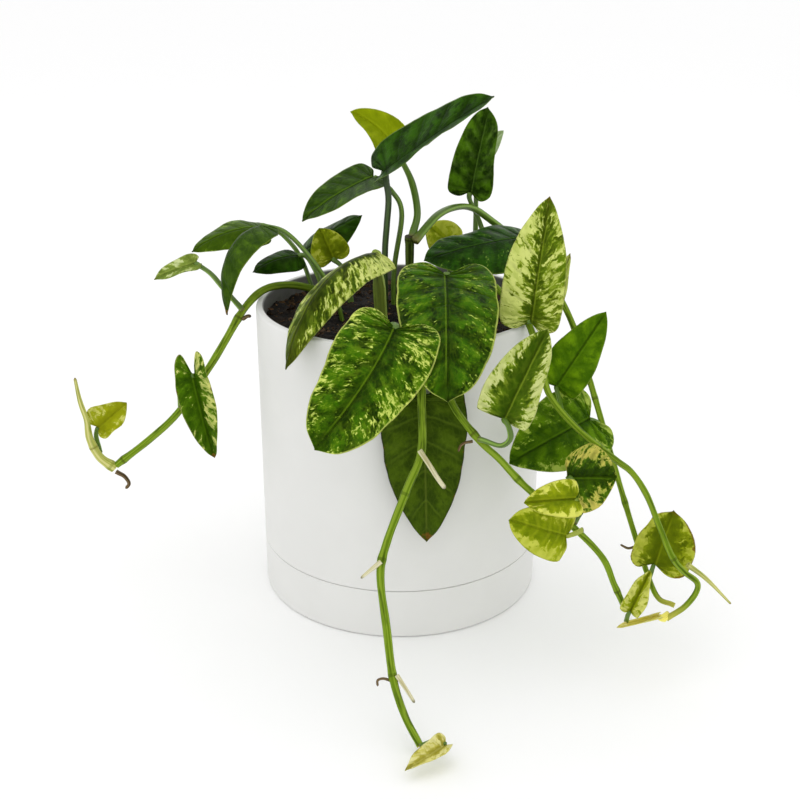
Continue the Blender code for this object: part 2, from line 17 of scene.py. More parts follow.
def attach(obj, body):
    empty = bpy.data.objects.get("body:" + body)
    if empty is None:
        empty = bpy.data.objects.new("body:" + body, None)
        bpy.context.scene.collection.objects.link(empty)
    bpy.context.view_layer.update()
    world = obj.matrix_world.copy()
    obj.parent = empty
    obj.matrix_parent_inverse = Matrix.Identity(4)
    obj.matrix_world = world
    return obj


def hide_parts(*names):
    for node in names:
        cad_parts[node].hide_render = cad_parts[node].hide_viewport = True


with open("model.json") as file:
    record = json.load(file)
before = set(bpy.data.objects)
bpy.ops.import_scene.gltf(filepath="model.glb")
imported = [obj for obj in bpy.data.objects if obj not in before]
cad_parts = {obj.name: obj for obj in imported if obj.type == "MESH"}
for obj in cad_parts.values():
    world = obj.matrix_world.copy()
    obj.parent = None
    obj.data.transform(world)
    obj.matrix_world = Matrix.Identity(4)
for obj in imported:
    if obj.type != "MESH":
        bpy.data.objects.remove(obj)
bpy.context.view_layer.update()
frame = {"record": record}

bl_info = {
    "name": "Potted pothos",
    "version": (1, 0, 0),
    "blender": (4, 5, 0),
    "location": "3D View > Sidebar > Plant",
    "description": "Builds the pot, saucer, soil, shoots and leaves of a potted golden pothos",
    "category": "Add Mesh",
}

MM = 0.001
EYE = (0.0, -0.6142, 0.3431)  # the camera's place, metres
EYE_TILT = 68.5274  # degrees that it is raised from looking straight down
FILM_WIDTH = 36.0
TURN_STEPS = 180  # flat sides of the round pot and saucer
STALK_SIDES = 14
SOIL_LEVEL = 149.0  # mean height of the soil
SOIL_RADIUS = 71.0
SOIL_FOOT = 6.0  # how deep shoots and stalks reach into it
STALK_FOOT = 3.4  # how deep a stalk reaches into the shoot that bears it
SHOOT_FOOT = 1.6  # the same for a shoot, sheath or root
SOIL_EDGE = 143.0  # where the soil's upright side ends, below its uneven top
CHIPS_FROM = 144.5  # chips lie on faces of the soil above this height
ROOT = "root"  # the one body that every piece rides on

# Half a leaf's outline, from the notch at the stalk round a lobe to the tip: share of the half width
# across, share of the length along, and where the side vein that ends there leaves the midrib.
OUTLINE = (
    (0.05, -0.01, 0.00),
    (0.42, -0.13, 0.00),
    (0.82, -0.07, 0.01),
    (1.00, 0.14, 0.06),
    (0.94, 0.41, 0.25),
    (0.65, 0.69, 0.50),
    (0.27, 0.90, 0.76),
    (0.00, 1.00, 1.00),
)
SIDE_VEINS = 9  # pairs of side veins on a leaf


class Look(NamedTuple):
    """How a leaf is coloured. Colours are display values from 0 to 255."""

    deep: tuple  # darkest green, also the painted shade beside the veins and the midrib
    green: tuple
    halo: tuple  # the lighter green round each fleck
    pale: tuple  # flecks
    cover: float  # how much is flecked: -3 hardly any, 0 half, 2 nearly all
    edge: float = 0.0  # more flecks towards the margin
    lobes: float = 0.0  # more flecks on the lobes
    tip: float = 0.0  # more flecks towards the tip
    side: float = 0.0  # more flecks on the right half, seen from above with the tip up
    fleck: float = 1.3  # width of a fleck, mm
    stretch: float = 3.2  # its length along the side veins, in widths
    patch: float = 13.0  # size of the areas that are more or less flecked, mm
    rim: float = 0.5  # strength of the pale line along the margin
    midrib: float = 0.0  # -1 dark, 1 pale
    veins: float = 0.3  # strength of the side veins and of the painted shade along them
    net: float = 0.1  # strength of the fine net between them
    dry: float = 0.0  # how far the margin and tip have browned
    gloss: float = 0.34  # roughness
    glow: float = 0.12  # share of light let through


DARK = Look(
    (10, 36, 1), (46, 88, 7), (64, 104, 18), (124, 150, 62), -3.6,
    rim=0.55, midrib=-0.3, veins=0.45,
)
GREEN = Look(
    (34, 68, 1), (74, 114, 8), (100, 138, 22), (176, 196, 84), -3.0,
    rim=0.5, midrib=-0.4, veins=0.5,
)
MARBLED = Look(
    (6, 32, 1), (56, 102, 4), (118, 152, 26), (220, 232, 116), -0.75,
    edge=0.15, lobes=0.6, fleck=0.85, stretch=4.0, rim=0.7, midrib=-0.6, veins=0.5,
)
SPARSE = Look(
    (6, 36, 1), (38, 84, 8), (66, 108, 20), (150, 178, 80), -1.35,
    fleck=0.9, stretch=4.0, rim=0.6, midrib=-0.6, veins=0.4,
)
CREAM = Look(
    (24, 56, 1), (84, 118, 8), (156, 178, 50), (226, 234, 138), 0.25,
    fleck=1.2, stretch=4.0, patch=18, rim=0.3, midrib=-0.7, glow=0.2,
)
OLIVE = Look(
    (44, 64, 8), (72, 96, 14), (92, 116, 28), (110, 126, 44), -2.4,
    rim=-0.7, midrib=0.3, veins=-0.7, net=0.2, dry=0.35, gloss=0.46,
)
YOUNG = Look(
    (84, 104, 2), (132, 148, 12), (164, 176, 34), (208, 212, 90), -0.7,
    fleck=1.8, patch=12, rim=0.6, midrib=-0.4, glow=0.28,
)
GOLD = Look(
    (160, 150, 40), (204, 196, 84), (224, 216, 116), (244, 238, 172), 0.2,
    fleck=2.2, rim=0.2, dry=0.12, gloss=0.45, glow=0.25,
)


class Leaf(NamedTuple):
    """One blade with its stalk. Angles are in degrees, lengths in millimetres."""

    base: tuple  # where the blade meets its stalk
    tip: tuple
    facing: tuple  # where the upper face looks
    width: float
    stalk: tuple  # route of the stalk up to, and without, the base
    look: Look
    fold: float = 12.0  # how far each half rises from the midrib
    curl: float = -18.0  # how much more it turns up, or down, by the margin
    arch: float = 25.0  # how far the midrib bends back on its way to the tip
    sweep: float = 0.0  # how far the midrib bends to its right
    lobe: float = 1.0  # how deep the lobes reach behind the base
    full: float = 0.2  # how much rounder the half towards the tip is
    stalk_radius: float = 1.25
    wave: float = 0.7  # how far the margin rises and falls
    waves: float = 2.6  # how often it does
    crumple: float = 0.35  # unevenness of the whole blade
    wing: float = 0.25  # how far the stalk's sheath widens it
    tone: tuple = (74, 104, 16)  # the stalk's colour


class Shoot(NamedTuple):
    """A round shoot or root along a route."""

    route: tuple
    radius: float
    look: str
    end_radius: float
    pale_end: float = 0.0  # length over which it fades to yellow, mm
    joints: tuple = ()  # shares of its length where leaves or roots grow from it


SHOOTS = {
    "stem_left": Shoot(
        ((-30, 14, 143), (-38, 14, 154), (-47, 13, 160), (-60, 10, 163), (-72, 6, 161.3),
         (-81.5, -2, 153.5), (-91, -13, 139), (-99, -20, 127), (-115, -26, 105), (-130, -28, 91),
         (-147, -30, 78)),
        2.5, "green", 2.1, joints=(0.10, 0.43, 0.66, 0.97),
    ),
    "shoot_left": Shoot(
        ((-151, -30, 76), (-157, -31, 82), (-161, -31, 92), (-162, -30, 102), (-165, -28, 112),
         (-167, -26, 124)),
        3.0, "young", 0.9, joints=(0.05, 0.3),
    ),
    "stem_front": Shoot(
        ((6, -44, 143), (8, -57, 156), (9, -68, 161), (10, -77, 160), (10, -80, 150), (10, -86, 135),
         (10, -92, 112), (3, -99, 95), (-6, -112, 75), (-9, -120, 62), (-6, -136, 43), (-3, -150, 26),
         (2, -160, 14), (8, -167, 5)),
        2.5, "green", 2.0, joints=(0.2, 0.50, 0.635, 0.86),
    ),
    "stem_right_front": Shoot(
        ((16, -40, 143), (17, -55, 157), (18, -67, 161), (20, -76, 160), (22, -80, 149), (24, -85, 134),
         (36, -96, 120), (46, -99, 111), (58, -103, 99), (80, -108, 81), (94, -112, 67), (100, -114, 54),
         (105, -114, 43)),
        2.2, "green", 1.7, joints=(0.24, 0.46, 0.60, 0.95),
    ),
    "stem_right_middle": Shoot(
        ((24, 2, 143), (26, 0, 157), (32, -6, 167), (40, -12, 171), (46, -15, 171), (52, -22, 167),
         (57, -33, 162), (62, -43, 160), (65, -50, 154), (68, -62, 145), (71, -74, 133), (84, -82, 119),
         (102, -86, 105), (110, -88, 99), (117, -92, 89), (123, -98, 75), (129, -102, 62),
         (135, -102, 54), (142, -102, 48), (142, -102, 42), (137, -103, 35), (130, -105, 31)),
        2.1, "green", 1.6, joints=(0.1, 0.38, 0.6, 0.84), pale_end=14.0,
    ),
    "stem_right_back": Shoot(
        ((48, -2, 143), (55, -2, 160), (63, -2, 170), (72, -8, 173), (80, -19, 166), (87, -30, 153),
         (92, -41, 137), (97, -51, 121), (108, -66, 85), (116, -77, 60), (123, -87, 40), (127, -92, 33),
         (132, -95, 32)),
        2.0, "green", 1.5, joints=(0.2, 0.52, 0.75), pale_end=12.0,
    ),
    "stem_centre": Shoot(
        ((4, 8, 143), (5, 7, 160), (5, 5, 176), (5, 3, 189)),
        2.2, "old", 2.8, joints=(0.97,),
    ),
    "sheath_front_upper": Shoot(
        ((10, -95.5, 112.5), (13.5, -98.5, 108), (17.5, -100.5, 102), (21, -101, 97)),
        1.5, "dry", 1.2,
    ),
    "sheath_front_middle": Shoot(
        ((-10, -118.5, 67), (-14, -120.5, 64.5), (-18, -121, 61)),
        1.4, "dry", 0.8,
    ),
    "sheath_front_lower": Shoot(
        ((-0.5, -151.5, 27.5), (3.5, -154, 22), (6.5, -156.5, 18)),
        1.3, "dry", 0.8,
    ),
    "root_front_lower": Shoot(
        ((-4.5, -149.5, 25), (-7.5, -151, 27), (-10, -151, 26), (-10, -151, 23)),
        0.8, "root", 0.6,
    ),
    "root_right_front": Shoot(
        ((32, -95, 118), (30, -96, 118), (28, -97, 117), (27, -97, 114)),
        0.9, "root", 0.6,
    ),
    "root_left_rim": Shoot(
        ((-81, -7, 150), (-79, -10, 152), (-77, -13, 153)),
        1.2, "root", 1.0,
    ),
    "root_left_elbow": Shoot(
        ((-148, -30, 72), (-145, -30, 70), (-143, -30, 66), (-145, -30, 63)),
        1.4, "root", 1.0,
    ),
    "root_right_back": Shoot(
        ((115.5, -80.5, 55.5), (112, -82, 55.5), (108, -83, 58)),
        0.9, "root", 0.6,
    ),
    "spear_right": Shoot(
        ((139, -98.5, 54.5), (148, -98, 47), (161, -97, 33)),
        1.7, "young", 0.6,
    ),
}

LEAVES = {
    # Tall stalks at the centre
    "leaf_top_long": Leaf(
        base=(-8, 0, 225), tip=(46, -6, 263), facing=(-0.33, -0.30, 0.90), width=37,
        stalk=((-8, 5, 143), (-8, 5, 180), (-7, 4, 196), (-6, 2, 210), (-7, 1, 219)),
        look=DARK._replace(rim=0.8), tone=(34, 56, 12), fold=15, curl=6, arch=6, lobe=0.6, full=0.8,
        stalk_radius=1.9,
    ),
    "leaf_top_young": Leaf(
        base=(-1, 27, 229), tip=(-26, 32, 250), facing=(0.35, -0.85, 0.35), width=22,
        stalk=((7, 6, 193), (9, 11, 202), (6, 20, 216)),
        look=YOUNG._replace(cover=-1.6, glow=0.4), fold=14, curl=20, arch=-10, sweep=-50, lobe=0.3,
        stalk_radius=1.5,
    ),
    "leaf_top_left": Leaf(
        base=(-13.5, 17, 219), tip=(-50, -2, 200), facing=(-0.2, -0.33, 0.92), width=31,
        stalk=((-3, 16, 143), (-3, 16, 170), (1, 14, 200), (-4, 14, 212)),
        look=GREEN._replace(veins=0.8, deep=(30, 56, 5), green=(52, 84, 14)), fold=10, curl=-6, arch=22,
        lobe=0.6, stalk_radius=1.5,
    ),
    "leaf_back_tall": Leaf(
        base=(38, 45, 205), tip=(47, 50, 250), facing=(-0.3, -0.93, 0.1), width=26,
        stalk=((48, 28, 144), (48, 34, 171), (44, 40, 188), (38, 44, 201)),
        look=DARK._replace(green=(80, 122, 16), halo=(110, 144, 60)), fold=24, curl=-10, arch=12,
        lobe=0.5, full=0.9, wave=1.6,
    ),
    "leaf_back_small": Leaf(
        base=(41, 62, 217), tip=(57, 66, 235), facing=(-0.40, -0.80, 0.50), width=15,
        stalk=((41, 44, 144), (42, 52, 175), (42, 58, 205)),
        look=GREEN._replace(deep=(140, 164, 110), green=(190, 206, 170), halo=(200, 214, 180)), fold=10,
        curl=-10,
    ),
    "leaf_back_left": Leaf(
        base=(-53, 50, 171), tip=(-21, 56, 190), facing=(-0.1, -0.5, 0.85), width=28,
        stalk=((-34, 40, 144), (-41, 44, 156), (-50, 48, 165)),
        look=DARK, fold=-15, curl=-30, arch=30, lobe=0.5,
    ),
    "leaf_back_round": Leaf(
        base=(-37, 34, 171), tip=(-44, 38, 187), facing=(0.1, -0.9, 0.4), width=22,
        stalk=((-26, 24, 144), (-28, 28, 156), (-31, 32, 166)),
        look=YOUNG._replace(deep=(58, 76, 6), green=(146, 166, 26), cover=-0.2), fold=12, curl=10,
        arch=15,
    ),
    # Left side
    "leaf_left_short": Leaf(
        base=(-55, 27, 174.5), tip=(-79, 20, 167), facing=(0.05, -0.45, 0.85), width=19,
        stalk=((-41, 22, 147), (-43, 24, 160), (-47, 26, 169), (-51, 28, 174)),
        look=DARK, fold=-14, curl=-15, arch=50,
    ),
    "leaf_left_long": Leaf(
        base=(-72, 7, 196), tip=(-88, -18, 155), facing=(-0.80, -0.45, 0.38), width=31,
        stalk=((-30, 2, 144), (-34, 3, 159), (-45, 5, 177), (-59, 7, 192)),
        look=GREEN._replace(deep=(38, 64, 10), green=(60, 86, 24), dry=0.3), fold=-20, curl=-25,
        arch=110, stalk_radius=1.3,
    ),
    "leaf_left_arched": Leaf(
        base=(-75, 31, 189), tip=(-110, 14, 180), facing=(-0.10, -0.60, 0.75), width=23,
        stalk=((-46, 34, 147), (-54, 37, 170), (-63, 36, 183), (-70, 33, 188)),
        look=GREEN._replace(cover=-1.6, edge=1.2, deep=(50, 76, 6), green=(72, 98, 14), rim=0.9),
        fold=-12, curl=-20, arch=55,
    ),
    "leaf_left_tip": Leaf(
        base=(-107, 6, 176), tip=(-128, 0, 169), facing=(-0.15, -0.60, 0.75), width=12,
        stalk=((-84, -3, 155.5), (-92, 0, 164), (-99, 4, 171)),
        look=YOUNG._replace(deep=(76, 98, 30), green=(122, 146, 60), halo=(160, 176, 84), pale=(216,
                  224, 168), cover=-0.3, dry=0.3),
        fold=16, curl=0, arch=10,
    ),
    "leaf_left_hanging": Leaf(
        base=(-104, -36, 129), tip=(-95, -42, 86), facing=(-0.10, -0.95, 0.15), width=21,
        stalk=((-113, -28, 112), (-113, -28, 120), (-109, -31, 126)),
        look=GREEN._replace(cover=-0.45, lobes=1.3, side=-0.4, tip=0.5, dry=0.35, pale=(216, 218, 124)),
        fold=42, curl=-30, arch=12, lobe=2.0,
    ),
    "leaf_left_cupped": Leaf(
        base=(-158, -25, 96), tip=(-143, -20, 108), facing=(0.10, -0.85, 0.45), width=22,
        stalk=((-158, -27, 86), (-159, -26, 92)),
        look=YOUNG._replace(deep=(126, 134, 4), green=(184, 190, 28), pale=(232, 230, 140), cover=-0.2,
                  dry=0.1),
        fold=20, curl=40, arch=-25, crumple=0.8, stalk_radius=1.0,
    ),
    # Front
    "leaf_front_cream": Leaf(
        base=(-12, -18, 188), tip=(-54, -72, 145), facing=(-0.50, -0.48, 0.72), width=33,
        stalk=((-9, -14, 143), (-10, -13, 158), (-11, -14, 176), (-11.5, -15, 183)),
        look=CREAM._replace(deep=(12, 26, 1), green=(54, 84, 6), cover=0.1, tip=-0.9, lobes=1.6),
        tone=(128, 148, 52), fold=-20, curl=-16, arch=80, lobe=0.25, full=0.5, wing=0.7,
        stalk_radius=2.2,
    ),
    "leaf_front_large": Leaf(
        base=(-2, -80, 168), tip=(-38, -118, 124), facing=(-0.05, -0.75, 0.65), width=46,
        stalk=((-5, -36, 143), (-5, -46, 155), (-4, -60, 163), (-2, -71, 167)),
        look=MARBLED, fold=8, curl=-14, arch=22, sweep=24, lobe=0.75, full=1.6, wave=0.9,
        stalk_radius=1.6,
    ),
    "leaf_front_right": Leaf(
        base=(22.5, -42, 183), tip=(21.5, -104, 141), facing=(0.05, -0.60, 0.80), width=48.5,
        stalk=((20, -24, 143), (22, -21, 158), (23, -25, 172), (23, -33, 180)),
        look=MARBLED._replace(cover=-1.15), fold=8, curl=-16, arch=34, full=1.4, stalk_radius=1.6,
    ),
    "leaf_front_low": Leaf(
        base=(11, -79.5, 135), tip=(13, -86, 61), facing=(0.05, -1.0, 0.15), width=42,
        stalk=((5, -79.5, 153), (7, -79.5, 145)),
        look=OLIVE, fold=-4, curl=-14, arch=8, lobe=0.3, wave=0.5, stalk_radius=1.0,
    ),
    "leaf_front_tip": Leaf(
        base=(20, -173, 8), tip=(2, -187, 5), facing=(-0.05, -0.45, 0.90), width=12,
        stalk=((12, -170, 6), (16, -170, 8)),
        look=GOLD, fold=30, curl=20, arch=0, lobe=0.4, crumple=0.7, stalk_radius=1.0,
    ),
    # Right side
    "leaf_right_upper": Leaf(
        base=(65, 12, 188), tip=(12, -12, 182), facing=(0, -0.4, 0.92), width=42,
        stalk=((9.5, 2, 191), (19, 10, 200), (29, 22, 202), (39, 33, 199), (51, 38, 190), (64, 32, 181),
               (70, 20, 180)),
        look=SPARSE._replace(cover=-1.0), fold=-6, curl=-20, arch=16, full=0.6, stalk_radius=1.9,
    ),
    "leaf_right_behind": Leaf(
        base=(28, 36, 178), tip=(14, 36, 189), facing=(0.0, -0.85, 0.50), width=22,
        stalk=((26, 30, 144), (27, 34, 162), (28, 36, 172)),
        look=YOUNG._replace(deep=(96, 120, 10), green=(176, 192, 56), cover=0.6), fold=8, curl=-10,
    ),
    "leaf_right_tall": Leaf(
        base=(63, -51, 162), tip=(71, -40, 221), facing=(-0.35, -0.9, 0.2), width=33,
        stalk=((58, -42, 165), (60, -47, 162)),
        look=CREAM._replace(side=-0.3, cover=0.2, dry=0.25), fold=22, curl=-18, arch=10, lobe=0.5,
    ),
    "leaf_right_side": Leaf(
        base=(71, -43, 158), tip=(84, -28, 190), facing=(-0.5, -0.85, 0.1), width=13,
        stalk=((70, -48.5, 150), (71, -46, 154)),
        look=CREAM._replace(cover=1.4, dry=0.4), fold=24, curl=0, arch=6, lobe=0.5, stalk_radius=1.0,
    ),
    "leaf_right_bright": Leaf(
        base=(47, -101, 132), tip=(67, -86, 170), facing=(-0.35, -0.88, 0.30), width=29,
        stalk=((39, -101, 121), (46, -104, 120), (50, -105, 124), (49, -105, 130)),
        look=CREAM._replace(cover=-1.0, edge=1.6, lobes=0.9, deep=(24, 58, 1), green=(70, 104, 6),
                  pale=(218, 224, 150)),
        fold=14, curl=20, arch=18, lobe=0.1,
    ),
    "leaf_right_plain": Leaf(
        base=(76, -57, 131), tip=(99, -53, 168), facing=(-0.15, -0.9, 0.35), width=24,
        stalk=((77, -70, 125), (77, -64, 127)),
        look=GREEN._replace(midrib=-0.8, deep=(60, 98, 4), green=(118, 158, 16)), fold=10, curl=-15,
        arch=10, lobe=0.2, stalk_radius=1.0,
    ),
    "leaf_right_low": Leaf(
        base=(93, -60, 115), tip=(52, -84, 102), facing=(-0.10, -0.85, 0.50), width=40,
        stalk=((99, -58, 110), (97, -59, 113)),
        look=GREEN._replace(green=(92, 130, 8), cover=-0.8, edge=0.7, lobes=1.8, midrib=-0.8), fold=12,
        curl=-18, arch=16, stalk_radius=1.0,
    ),
    "leaf_right_round": Leaf(
        base=(78, -98, 102), tip=(102, -92, 99), facing=(0, -0.95, 0.3), width=36,
        stalk=((82, -106, 85), (85, -103, 89), (84, -99, 95)),
        look=GREEN._replace(deep=(16, 44, 1), cover=-0.5, edge=0.7, lobes=1.7, pale=(214, 204, 96),
                  dry=0.1, gloss=0.28),
        fold=15, curl=30, arch=-10, stalk_radius=1.3,
    ),
    "leaf_right_folded": Leaf(
        base=(80, -112, 97), tip=(56, -116, 97), facing=(0.0, -0.80, 0.60), width=19,
        stalk=((80.2, -109.5, 86.5), (81, -111.3, 92)),
        look=YOUNG._replace(deep=(84, 110, 6), green=(176, 190, 26), pale=(238, 240, 116), cover=-1.0,
                  edge=1.5, midrib=-0.9),
        tone=(120, 140, 30), fold=26, curl=-20, arch=14, lobe=0.6, stalk_radius=1.0,
    ),
    "leaf_right_golden": Leaf(
        base=(76, -116.2, 80), tip=(49, -121.5, 91.2), facing=(-0.05, -0.90, 0.40), width=25,
        stalk=((82, -112, 80), (81, -113, 80)),
        look=YOUNG._replace(deep=(90, 112, 6), green=(164, 178, 20), cover=-0.8, edge=1.5, veins=-0.6),
        tone=(140, 152, 40), fold=8, curl=-14, arch=14, lobe=0.5, full=0.7, stalk_radius=0.9,
    ),
    # Low on the right
    "leaf_low_cupped": Leaf(
        base=(124, -88, 50), tip=(133, -81, 76), facing=(0.0, -0.95, 0.30), width=36,
        stalk=((122, -90, 44), (123, -89, 47)),
        look=YOUNG._replace(deep=(40, 64, 6), green=(104, 124, 14), cover=-0.9, edge=1.5, side=-0.2,
                  dry=0.8),
        fold=16, curl=36, arch=-16, full=1.0, crumple=0.8, stalk_radius=0.9,
    ),
    "leaf_low_folded": Leaf(
        base=(108, -117, 41), tip=(117, -112, 60), facing=(-0.30, -0.85, 0.30), width=13,
        stalk=((107, -116, 37), (107, -117, 39)),
        look=YOUNG._replace(green=(164, 174, 28), pale=(226, 226, 130), cover=0.4, midrib=-1.0),
        fold=34, curl=0, arch=8, lobe=0.4, stalk_radius=0.8,
    ),
    "leaf_low_tip": Leaf(
        base=(124, -107, 32), tip=(102, -118, 33), facing=(0.05, -0.70, 0.70), width=7,
        stalk=((127, -106, 31), (126, -107, 31)),
        look=GOLD._replace(deep=(222, 208, 80), green=(244, 232, 112), dry=0.2), tone=(222, 212, 90),
        fold=20, curl=110, arch=6, lobe=0.0, wave=0.2, crumple=0.1, stalk_radius=1.3,
    ),
}


# ---------------------------------------------------------------------------------------------------
# Node trees


class Socket:
    """One output of a node. Arithmetic on it adds Math nodes."""

    def __init__(self, tree, output):
        self.tree = tree
        self.output = output

    def __getitem__(self, name):
        return Socket(self.tree, self.output.node.outputs[name])

    def math(self, operation, *others):
        sockets = dict(enumerate((self, *others)))
        return self.tree.add("ShaderNodeMath", {"operation": operation}, sockets)

    def __add__(self, other):
        return self.math("ADD", other)

    __radd__ = __add__

    def __sub__(self, other):
        return self.math("SUBTRACT", other)

    def __rsub__(self, other):
        return (self * -1.0) + other

    def __mul__(self, other):
        return self.math("MULTIPLY", other)

    __rmul__ = __mul__

    def __truediv__(self, other):
        return self.math("DIVIDE", other)

    def __abs__(self):
        return self.math("ABSOLUTE")

    def fraction(self):
        return self.math("FRACT")

    def most(self, other):
        return self.math("MAXIMUM", other)

    def step(self, low, high):
        """Rises smoothly from 0 to 1 between low and high, or falls where high is below low."""
        sockets = {"Value": self, "From Min": low, "From Max": high}
        return self.tree.add("ShaderNodeMapRange", {"interpolation_type": "SMOOTHSTEP"}, sockets)


class Tree:
    """Adds nodes to one node tree."""

    def __init__(self, tree):
        self.tree = tree
        tree.nodes.clear()

    def add(self, kind, settings=None, sockets=None):
        """One node: its settings are set first, then its sockets get a value or a link."""
        node = self.tree.nodes.new(kind)
        for name, value in (settings or {}).items():
            setattr(node, name, value)
        for name, value in (sockets or {}).items():
            if isinstance(value, Socket):
                self.tree.links.new(value.output, node.inputs[name])
            else:
                node.inputs[name].default_value = value
        outputs = [output for output in node.outputs if output.enabled]
        return Socket(self, outputs[0]) if outputs else None

    def attribute(self, name):
        return self.add("ShaderNodeAttribute", {"attribute_name": name})["Vector"]

    def parts(self, vector):
        apart = self.add("ShaderNodeSeparateXYZ", None, {"Vector": vector})
        return apart["X"], apart["Y"], apart["Z"]

    def vector(self, x, y, z):
        return self.add("ShaderNodeCombineXYZ", None, {"X": x, "Y": y, "Z": z})

    def scaled(self, vector, by):
        return self.add("ShaderNodeVectorMath", {"operation": "MULTIPLY"}, {0: vector, 1: by})

    def noise(self, vector, size, detail=2.0, roughness=0.55):
        """Noise from 0 to 1 whose features are about size across, in the vector's own unit."""
        sockets = {"Vector": vector, "Scale": 1 / size, "Detail": detail, "Roughness": roughness}
        return self.add("ShaderNodeTexNoise", None, sockets)["Fac"]

    def net(self, vector, size):
        """Distance from the borders of cells about size across."""
        sockets = {"Vector": vector, "Scale": 1 / size}
        return self.add("ShaderNodeTexVoronoi", {"feature": "DISTANCE_TO_EDGE"}, sockets)["Distance"]

    def mix(self, amount, first, second):
        sockets = {0: amount, 6: first, 7: second}
        return self.add("ShaderNodeMix", {"data_type": "RGBA"}, sockets)["Result"]

    def paint(self, colour, *coats):
        """A display colour under coats, each an amount and a display colour or a socket."""
        tone = display(colour)
        for amount, coat in coats:
            tone = self.mix(amount, tone, coat if isinstance(coat, Socket) else display(coat))
        return tone

    def place(self):
        """Where a point of the surface is, in metres."""
        return self.add("ShaderNodeTexCoord")["Object"]

    def over(self, value, limit):
        return self.add("FunctionNodeCompare", {"operation": "GREATER_THAN"}, {0: value, 1: limit})


def display(colour):
    """Linear RGBA of a display colour from 0 to 255."""
    parts = [value / 255 for value in colour]
    return (*(v / 12.92 if v <= 0.04045 else ((v + 0.055) / 1.055) ** 2.4 for v in parts), 1.0)


def new_material(name):
    material = bpy.data.materials.new(name)
    material.use_nodes = True
    return material, Tree(material.node_tree)


def finish_material(tree, tone, rough, specular=0.5, tint=(1, 1, 1), height=None, depth=0.0, glow=None):
    """Ends a material: height times depth, in millimetres, raises the surface, and glow is how much
    light comes through and its colour."""
    sockets = {"Base Color": tone, "Roughness": rough}
    sockets |= {"Specular IOR Level": specular, "Specular Tint": (*tint, 1.0)}
    if height is not None:
        bump = {"Height": height, "Strength": 1.0, "Distance": depth * MM}
        sockets["Normal"] = tree.add("ShaderNodeBump", None, bump)
    surface = tree.add("ShaderNodeBsdfPrincipled", None, sockets)
    if glow is not None and glow[0]:
        through = tree.add("ShaderNodeBsdfTranslucent", None, {"Color": display(glow[1])})
        surface = tree.add("ShaderNodeMixShader", None, {0: glow[0], 1: surface, 2: through})
    tree.add("ShaderNodeOutputMaterial", None, {"Surface": surface})


def ceramic_material(name, colour, inner):
    """Matt white with a faint unevenness; painted shade greys the inner wall, which has brown patches low
    on it.
    """
    material, t = new_material(name)
    place = t.place()
    x, y, z = t.parts(place)
    cloud = t.noise(place, 0.035, 3)
    grain = t.noise(place, 0.0007, 2)
    splash = t.noise(place, 0.006, 5, 0.7)
    reach = (x * x + y * y).math("SQRT")
    inside = reach.step(inner + 0.0012, inner + 0.0002)
    # rough brown patches low on the inner wall, towards the soil
    low_patches = inside * z.step(0.156, 0.142) * splash.step(0.42, 0.62)
    shaded = [c - 5 for c in colour]
    tone = t.paint(
        colour,
        (cloud.step(0.35, 0.65) * 0.5, shaded),
        # painted shade: the inner wall is greyed
        (inside * 0.9, (92, 92, 88)),
        (low_patches * 0.75, (70, 58, 44)),
    )
    rough = cloud * 0.12 + 0.44 + low_patches * 0.3
    finish_material(t, tone, rough, specular=0.4, height=grain * 0.6 + cloud * 2.0, depth=0.03)
    return material


def soil_material(name, dark, brown):
    material, t = new_material(name)
    place = t.place()
    clump = t.noise(place, 0.006, 4, 0.7)
    grit = t.noise(place, 0.0012, 4, 0.7)
    tone = t.paint(dark, (clump.step(0.4, 0.62), brown), (grit.step(0.62, 0.72) * 0.5, (110, 92, 66)))
    finish_material(t, tone, grit * 0.2 + 0.75, specular=0.2, height=grit + clump * 2.0, depth=0.5)
    return material


def bark_material(name, dark, light):
    """Bark chips and crumbs: each has its own shade, with fibres along it."""
    material, t = new_material(name)
    piece = t.parts(t.attribute("shade"))[0]
    fibres = t.noise(t.scaled(t.place(), (1.0, 3.0, 1.6)), 0.0016, 4, 0.7)
    tone = t.paint(
        dark,
        (piece, light),
        (fibres.step(0.42, 0.68) * 0.6, (150, 112, 74)),
        (fibres.step(0.5, 0.3) * 0.7, (18, 12, 8)),
    )
    finish_material(t, tone, fibres * 0.2 + 0.7, specular=0.2, height=fibres, depth=0.35)
    return material


SHOOT_TONES = {  # skin, lighter streaks, darker side, joint ring, roughness, glow
    "green": ((96, 128, 12), (146, 172, 52), (48, 74, 4), (88, 70, 30), 0.42, 0.06),
    "old": ((50, 70, 18), (96, 114, 50), (24, 38, 8), (46, 36, 22), 0.5, 0.0),
    "young": ((176, 182, 78), (226, 222, 146), (128, 144, 40), (120, 88, 40), 0.45, 0.12),
    "dry": ((220, 214, 166), (244, 240, 212), (176, 162, 104), (56, 40, 24), 0.7, 0.15),
    "root": ((86, 66, 42), (140, 120, 90), (34, 24, 14), (30, 20, 12), 0.85, 0.0),
}


